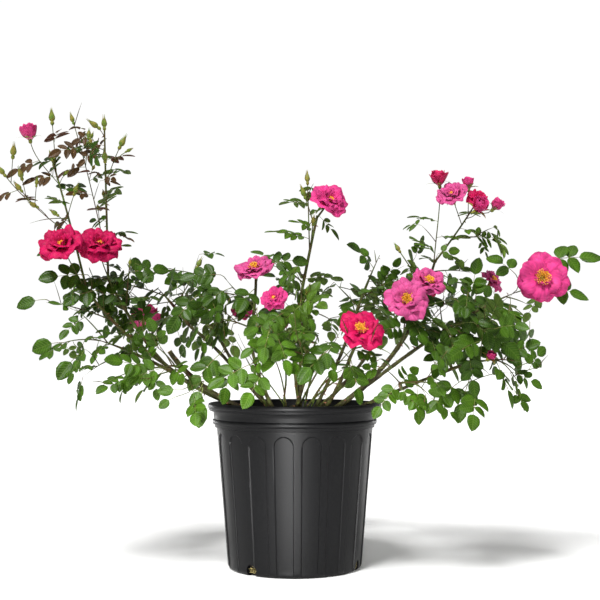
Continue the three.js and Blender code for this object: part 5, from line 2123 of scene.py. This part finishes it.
@dataclass
class NurseryPot:
    """The round black pot: a rolled rim over a beaded collar, and pressed panels round its wall."""

    height: float = 215.0
    base_radius: float = 88.5
    foot_radius: float = 82.0
    corner: float = 7.0
    shoulder_radius: float = 103.0
    shoulder: float = 183.0
    bead: float = 191.0
    bead_radius: float = 108.5
    collar_radius: float = 107.0
    lip_radius: float = 114.5
    lip_underside: float = 205.0
    mouth_radius: float = 110.5
    wall: float = 2.0
    panels: int = 18
    first_panel: float = 12.4  # degrees to the right of the front
    panel_half: float = 6.85
    panel_depth: float = 1.4
    panel_blend: tuple[float, float] = (0.3, 0.6)  # in degrees at a side, in mm at an end
    skin: float = 0.5  # how far in from the plain radius a point still counts as outside
    spring: float = 164.0
    apex: float = 176.6
    hole_bearings: tuple[float, ...] = (-38.5, 67.0, 155.0, 247.0)
    hole_width: float = 16.0
    hole_middle: float = 6.5  # above the floor
    hole_depth: float = 18.0
    segments: int = 720

    def outer_radius(self, height: float) -> float:
        """The wall's plain outer radius at a height between the corner and the shoulder."""
        share = (height - self.corner) / (self.shoulder - self.corner)
        return mix(self.base_radius, self.shoulder_radius, share)

    def profile(self) -> list[tuple[float, float]]:
        """The turned outline of the whole shell, without its panels.

        Returns:
            Radius and height pairs, from the axis under the base over the rim and down inside.
        """
        foot, rise = self.foot_radius, self.base_radius - self.foot_radius
        line = [(0.0, 1.2), (foot - 10, 1.2), (foot - 7, 0.0), (foot, 0.0)]
        for k in range(1, 7):
            angle = math.radians(90 * k / 6)
            line.append((foot + rise * math.sin(angle), self.corner * (1 - math.cos(angle))))
        plain = np.linspace(12, self.spring - 4, 14)
        arched = np.linspace(self.spring - 2, self.shoulder - 1, 34)
        line += [(self.outer_radius(height), height) for height in (*plain, *arched)]
        inner, level = self.shoulder_radius, self.shoulder
        line += [(inner, level), (inner + 2.3, level + 0.6), (inner + 2.8, self.bead - 3.6)]
        bead, level = self.bead_radius, self.bead
        line += [(bead - 0.8, level - 2.9), (bead, level - 1.4), (bead, level + 1.4)]
        line += [(bead - 0.8, level + 2.7)]
        collar, under = self.collar_radius, self.lip_underside
        line += [(collar - 0.5, level + 3.4), (collar, 199.0), (collar + 0.4, under - 1.2)]
        lip, top = self.lip_radius, self.height
        line += [(collar + 1.2, under), (lip - 2.6, under), (lip - 1.6, under + 0.5)]
        line += [(lip - 1.3, 208.0), (lip - 0.4, 208.7), (lip, 209.6), (lip, 212.6)]
        line += [(lip - 0.7, 214.2), (lip - 2, top)]
        mouth, inset = self.mouth_radius, self.panel_depth + self.wall
        line += [(mouth + 1, top), (mouth + 0.2, 214.4), (mouth, 213.0), (mouth - 3.5, 206.5)]
        inside = (198, 190, 150, 100, 50, 14)
        line += [(self.outer_radius(height) - inset, height) for height in inside]
        return [*line, (foot - 4, 6.0), (0.0, 6.0)]

    def turned_shell(self) -> bpy.types.Object:
        """One ring, extruded and resized along the profile.

        Returns:
            The shell, before its panels and drains.
        """
        (radius, height), *rest = self.profile()[1:-1]
        bpy.ops.mesh.primitive_circle_add(
            vertices=self.segments, radius=radius * MM, fill_type="NOTHING", location=(0, 0, height * MM)
        )
        shell = bpy.context.object
        shell.name = "nursery_pot"
        choose(shell)
        bpy.ops.object.transform_apply(location=True, rotation=True, scale=True)
        bpy.ops.object.mode_set(mode="EDIT")
        bpy.ops.mesh.select_mode(type="EDGE")
        bpy.ops.mesh.select_all(action="SELECT")
        bpy.ops.mesh.edge_face_add()
        for next_radius, next_height in rest:
            share = next_radius / radius
            bpy.ops.mesh.extrude_edges_move(
                TRANSFORM_OT_translate={"value": (0, 0, (next_height - height) * MM)}
            )
            bpy.ops.transform.resize(value=(share, share, 1), center_override=(0, 0, next_height * MM))
            radius, height = next_radius, next_height
        bpy.ops.mesh.edge_face_add()
        bpy.ops.mesh.select_all(action="SELECT")
        bpy.ops.mesh.normals_make_consistent(inside=False)
        bpy.ops.object.mode_set(mode="OBJECT")
        return shell

    def press_panels(self, shell: bpy.types.Object) -> None:
        """Pushes the wall in over each arched panel.

        Args:
            shell: the turned shell, whose points it moves.
        """
        side_blend, end_blend = self.panel_blend
        for vertex in shell.data.vertices:
            x, y, z = (value / MM for value in vertex.co)
            radius = math.hypot(x, y)
            wall = self.outer_radius(z) if z > self.corner else self.foot_radius
            if z > self.shoulder or radius < wall - self.skin:
                continue
            bearing = math.degrees(math.atan2(x, -y)) - self.first_panel
            pitch = 360 / self.panels
            offset = (bearing + pitch / 2) % pitch - pitch / 2
            share = min(1.0, abs(offset) / self.panel_half)
            arch = self.spring + (self.apex - self.spring) * math.sqrt(1 - share * share)
            sides = smooth(self.panel_half + side_blend, self.panel_half - side_blend, abs(offset))
            ends = smooth(arch + end_blend, arch - end_blend, z) * smooth(0, self.corner, z)
            pressed = radius - self.panel_depth * sides * ends
            vertex.co.x *= pressed / radius
            vertex.co.y *= pressed / radius

    def cut_drains(self, shell: bpy.types.Object) -> None:
        """Cuts the drain holes through the foot of the wall.

        Args:
            shell: the shell.
        """
        for bearing in self.hole_bearings:
            middle = from_front(bearing) * (self.base_radius - 1) + UP * self.hole_middle
            bpy.ops.mesh.primitive_cylinder_add(
                vertices=40, radius=self.hole_width / 2 * MM, depth=self.hole_depth * MM,
                location=middle * MM, rotation=(math.pi / 2, 0, math.radians(bearing)),
            )
            cutter = bpy.context.object
            choose(cutter)
            bpy.ops.object.transform_apply(location=True, rotation=True, scale=True)
            modified(shell, "BOOLEAN", object=cutter, operation="DIFFERENCE", solver="EXACT")
            choose(cutter)
            bpy.ops.object.delete()

    def build(self) -> None:
        """Turns the shell, presses its panels, cuts its drains and dresses it."""
        shell = self.turned_shell()
        plastic = MouldedPolypropylene("pot_plastic", 0.4, 1.45, 0.19)
        shell.data.materials.append(plastic.material())
        self.press_panels(shell)
        self.cut_drains(shell)
        choose(shell)
        bpy.ops.object.shade_smooth_by_angle(angle=math.radians(32))
        settle(shell, ["pot"])


# The sides of a box whose corners go round its underside and then round its top.
BOX_FACES = [(0, 3, 2, 1), (4, 5, 6, 7), (0, 1, 5, 4), (1, 2, 6, 5), (2, 3, 7, 6), (3, 0, 4, 7)]


@dataclass
class PottingMix:
    """Peaty mix with bark chips on top, and roots that show at the drain holes."""

    pot: NurseryPot
    level: float = 200.0
    edge_drop: float = 5.0
    edge: tuple[float, float] = (70.0, 102.0)  # the radii between which the top falls
    roughness: float = 2.2
    chips: int = 260
    chip_sizes: tuple[float, float] = (5.0, 15.0)
    grey_share: float = 0.35  # of the chips, which are weathered
    root_count: int = 14

    def surface(self, radius: float, bearing: float) -> float:
        """The height of the rough top.

        Args:
            radius: the distance from the axis.
            bearing: in radians, from +X.

        Returns:
            The height above the pot's underside.
        """
        place = Vector((radius * math.cos(bearing), radius * math.sin(bearing), 0))
        rough = fractal.fractal(place * 0.06, 1.0, 2.0, 4)
        return self.level - self.edge_drop * smooth(*self.edge, radius) + self.roughness * rough

    def body(self) -> Shape:
        """The filling.

        Returns:
            A turned shape from the pot's floor to the rough top.
        """
        inset = self.pot.panel_depth + self.pot.wall + 0.6
        walls = [(self.pot.outer_radius(h) - inset, h) for h in (16, 60, 110, 160, 186)]
        top_radius = self.pot.outer_radius(195) - inset
        top = [(top_radius * k / 26, self.level) for k in range(26, -1, -1)]
        shape = turned_shape([(0.0, 7.0), (74.0, 7.0), *walls, *top], 96)
        for point in shape.points:
            x, y, z = point
            if z == self.level:
                point[2] = self.surface(math.hypot(x, y), math.atan2(y, x))
        return shape

    def chip(self, k: int) -> Shape:
        """One bark chip lying on the top.

        Args:
            k: its number, which sets its size and place.

        Returns:
            The chip.
        """
        draw = [noise(k, 31, i) for i in range(8)]
        size = mix(*self.chip_sizes, draw[0] ** 2)
        corners = []
        for level in (-1, 1):
            for i, (x, y) in enumerate(((-1, -1), (1, -1), (1, 1), (-1, 1))):
                jolt = 0.7 + 0.5 * noise(k, 32 + level, i)
                corners.append((x * jolt * size / 2, y * jolt * size * 0.28, level * size * 0.1 * jolt))
        reach = 16 + 80 * math.sqrt(draw[1])
        bearing = 2 * math.pi * draw[2]
        height = self.surface(reach, bearing) + size * 0.07
        place = vec(reach * math.cos(bearing), reach * math.sin(bearing), height)
        lean = Euler((mix(-0.5, 0.5, draw[3]), mix(-0.4, 0.4, draw[4]), 6.28 * draw[5])).to_matrix()
        finishes = [1 if draw[6] > self.grey_share else 2] * len(BOX_FACES)
        chip = Shape(np.array(corners), np.zeros((8, 2)), BOX_FACES, finishes)
        return chip.placed(np.array(lean), place)

    def roots(self) -> list[Shape]:
        """Thin pale roots curling at each drain hole.

        Returns:
            The roots of all the holes.
        """
        shapes = []
        for hole, bearing in enumerate(self.pot.hole_bearings):
            out, aside = from_front(bearing), from_front(bearing + 90)
            for k in range(self.root_count):
                draw = [noise(hole, k + 41, i) - 0.5 for i in range(6)]
                middle = out * (self.pot.base_radius - 5) + UP * (8 + 8 * draw[0])
                start = middle - out * 6 + aside * 12 * draw[1]
                end = middle + out * 1.5 + aside * 12 * draw[2] + UP * 6 * draw[3]
                bend = middle + out * 4 + aside * 10 * draw[4]
                line = Path.bezier([start, bend, middle + aside * 8 * draw[5], end], 10)
                shapes.append(tube(line, lambda share: 0.55 - 0.3 * share, 4, 8, 3))
        return shapes

    def build(self) -> None:
        """Joins the filling, chips and roots, and puts them on the part."""
        piece = Piece("potting_mix")
        piece.add(self.body(), *[self.chip(k) for k in range(self.chips)], *self.roots())
        peat = Speckled("peat", 0.95, 1.4, 0.5, "#1d1511", "#3d2d20", 3.0, 1.2)
        chip = Speckled("bark_chip", 0.85, 1.45, 0.5, "#4a3422", "#7a5a3c", 4.0, 0.5)
        grey_chip = Speckled("weathered_chip", 0.85, 1.45, 0.5, "#5a4c3c", "#857560", 4.0, 0.5)
        root = Speckled("root", 0.7, 1.45, 0.5, "#4a4226", "#8a7c4a", 4.0, 0.1)
        finishes = [finish.material() for finish in (peat, chip, grey_chip, root)]
        made = piece.build(finishes)
        choose(made)
        bpy.ops.object.shade_smooth_by_angle(angle=math.radians(40))
        settle(made, ["soil"])


Place = tuple[float, float, float]  # in metres


@dataclass(frozen=True)
class Lamp:
    """A snooted lamp on the pot: its place, its radius, its power in watts and its cone in degrees."""

    name: str
    place: Place
    radius: float
    power: float
    cone: float = 8.8


@dataclass
class Studio:
    """A pale floor, soft lights and the camera at the viewing angle."""

    floor_size: float = 40.0
    camera_place: Place = (0.007, -1.52, 0.286)
    aim: Place = (0.007, 0.0, 0.351)
    lens: float = 68.6
    sensor: float = 36.0
    seen_white: float = 1.02  # the backdrop's strength as the camera sees it
    ambient: float = 0.4  # and as it lights the plant
    sun_power: float = 4.0
    sun_angle: float = 16.0  # degrees across, for soft shadows
    sun_from: Place = (-0.4, -0.85, 1.35)
    lamps: tuple[Lamp, ...] = (
        Lamp("pot_front", (-0.2, -1.74, 0.1), 0.2, 820.0),
        Lamp("pot_edge_left", (-0.9, 1.55, 0.12), 0.15, 60.0),
        Lamp("pot_edge_right", (1.0, 1.5, 0.12), 0.1, 30.0),
    )
    lamp_target: Place = (0.0, 0.0, 0.07)
    cone_blend: float = 0.4

    def lay_floor(self) -> None:
        """The floor, which isn't part of the object."""
        bpy.ops.mesh.primitive_plane_add(size=self.floor_size)
        floor = bpy.context.object
        floor.name = "studio_floor"
        paint = Speckled("studio_paint", 0.9, 1.45, 0.5, "#f6f6f5", "#fafaf9", 900.0, 0.0)
        floor.data.materials.append(paint.material())

    def light_world(self) -> None:
        """A white backdrop that lights the plant more softly than it is seen."""
        world = bpy.data.worlds.new("studio_world")
        world.use_nodes = True
        tree = world.node_tree
        ray = add_node(tree, "LightPath")
        strength = add_node(
            tree, "MapRange", {"To Min": self.ambient, "To Max": self.seen_white},
            {"Value": ray.outputs["Is Camera Ray"]},
        )
        back = tree.nodes["Background"]
        back.inputs["Color"].default_value = (1.0, 1.0, 1.0, 1.0)
        tree.links.new(strength.outputs["Result"], back.inputs["Strength"])
        bpy.context.scene.world = world

    def aimed(self, item: bpy.types.Object, place: Place, target: Place) -> None:
        """Turns a light or camera at a place to face a target."""
        item.rotation_euler = (Vector(target) - Vector(place)).to_track_quat("-Z", "Y").to_euler()

    def hang_lamps(self) -> None:
        """A broad soft key from above, and narrow lamps on the pot's front and edges."""
        bpy.ops.object.light_add(type="SUN")
        sun = bpy.context.object
        sun.name = "key"
        sun.data.energy = self.sun_power
        sun.data.angle = math.radians(self.sun_angle)
        self.aimed(sun, self.sun_from, (0.0, 0.0, 0.0))
        for lamp in self.lamps:
            bpy.ops.object.light_add(type="SPOT", location=lamp.place)
            made = bpy.context.object
            made.name = lamp.name
            made.data.shadow_soft_size = lamp.radius
            made.data.energy = lamp.power
            made.data.spot_size = math.radians(lamp.cone)
            made.data.spot_blend = self.cone_blend
            self.aimed(made, lamp.place, self.lamp_target)

    def build(self) -> None:
        """Sets the floor, the world, the lights and the camera."""
        self.lay_floor()
        self.light_world()
        self.hang_lamps()
        bpy.ops.object.camera_add(location=self.camera_place)
        camera = bpy.context.object
        camera.data.lens = self.lens
        camera.data.sensor_width = self.sensor
        self.aimed(camera, self.camera_place, self.aim)
        bpy.context.scene.camera = camera
        bpy.context.scene.view_settings.view_transform = "Standard"


def main() -> None:
    """Builds the pot, the mix, the plant and the studio."""
    logging.basicConfig(level=logging.INFO, format="%(message)s")
    pot = NurseryPot()
    pot.build()
    PottingMix(pot).build()
    Bush().build()
    Studio().build()


if __name__ == "__main__":
    main()
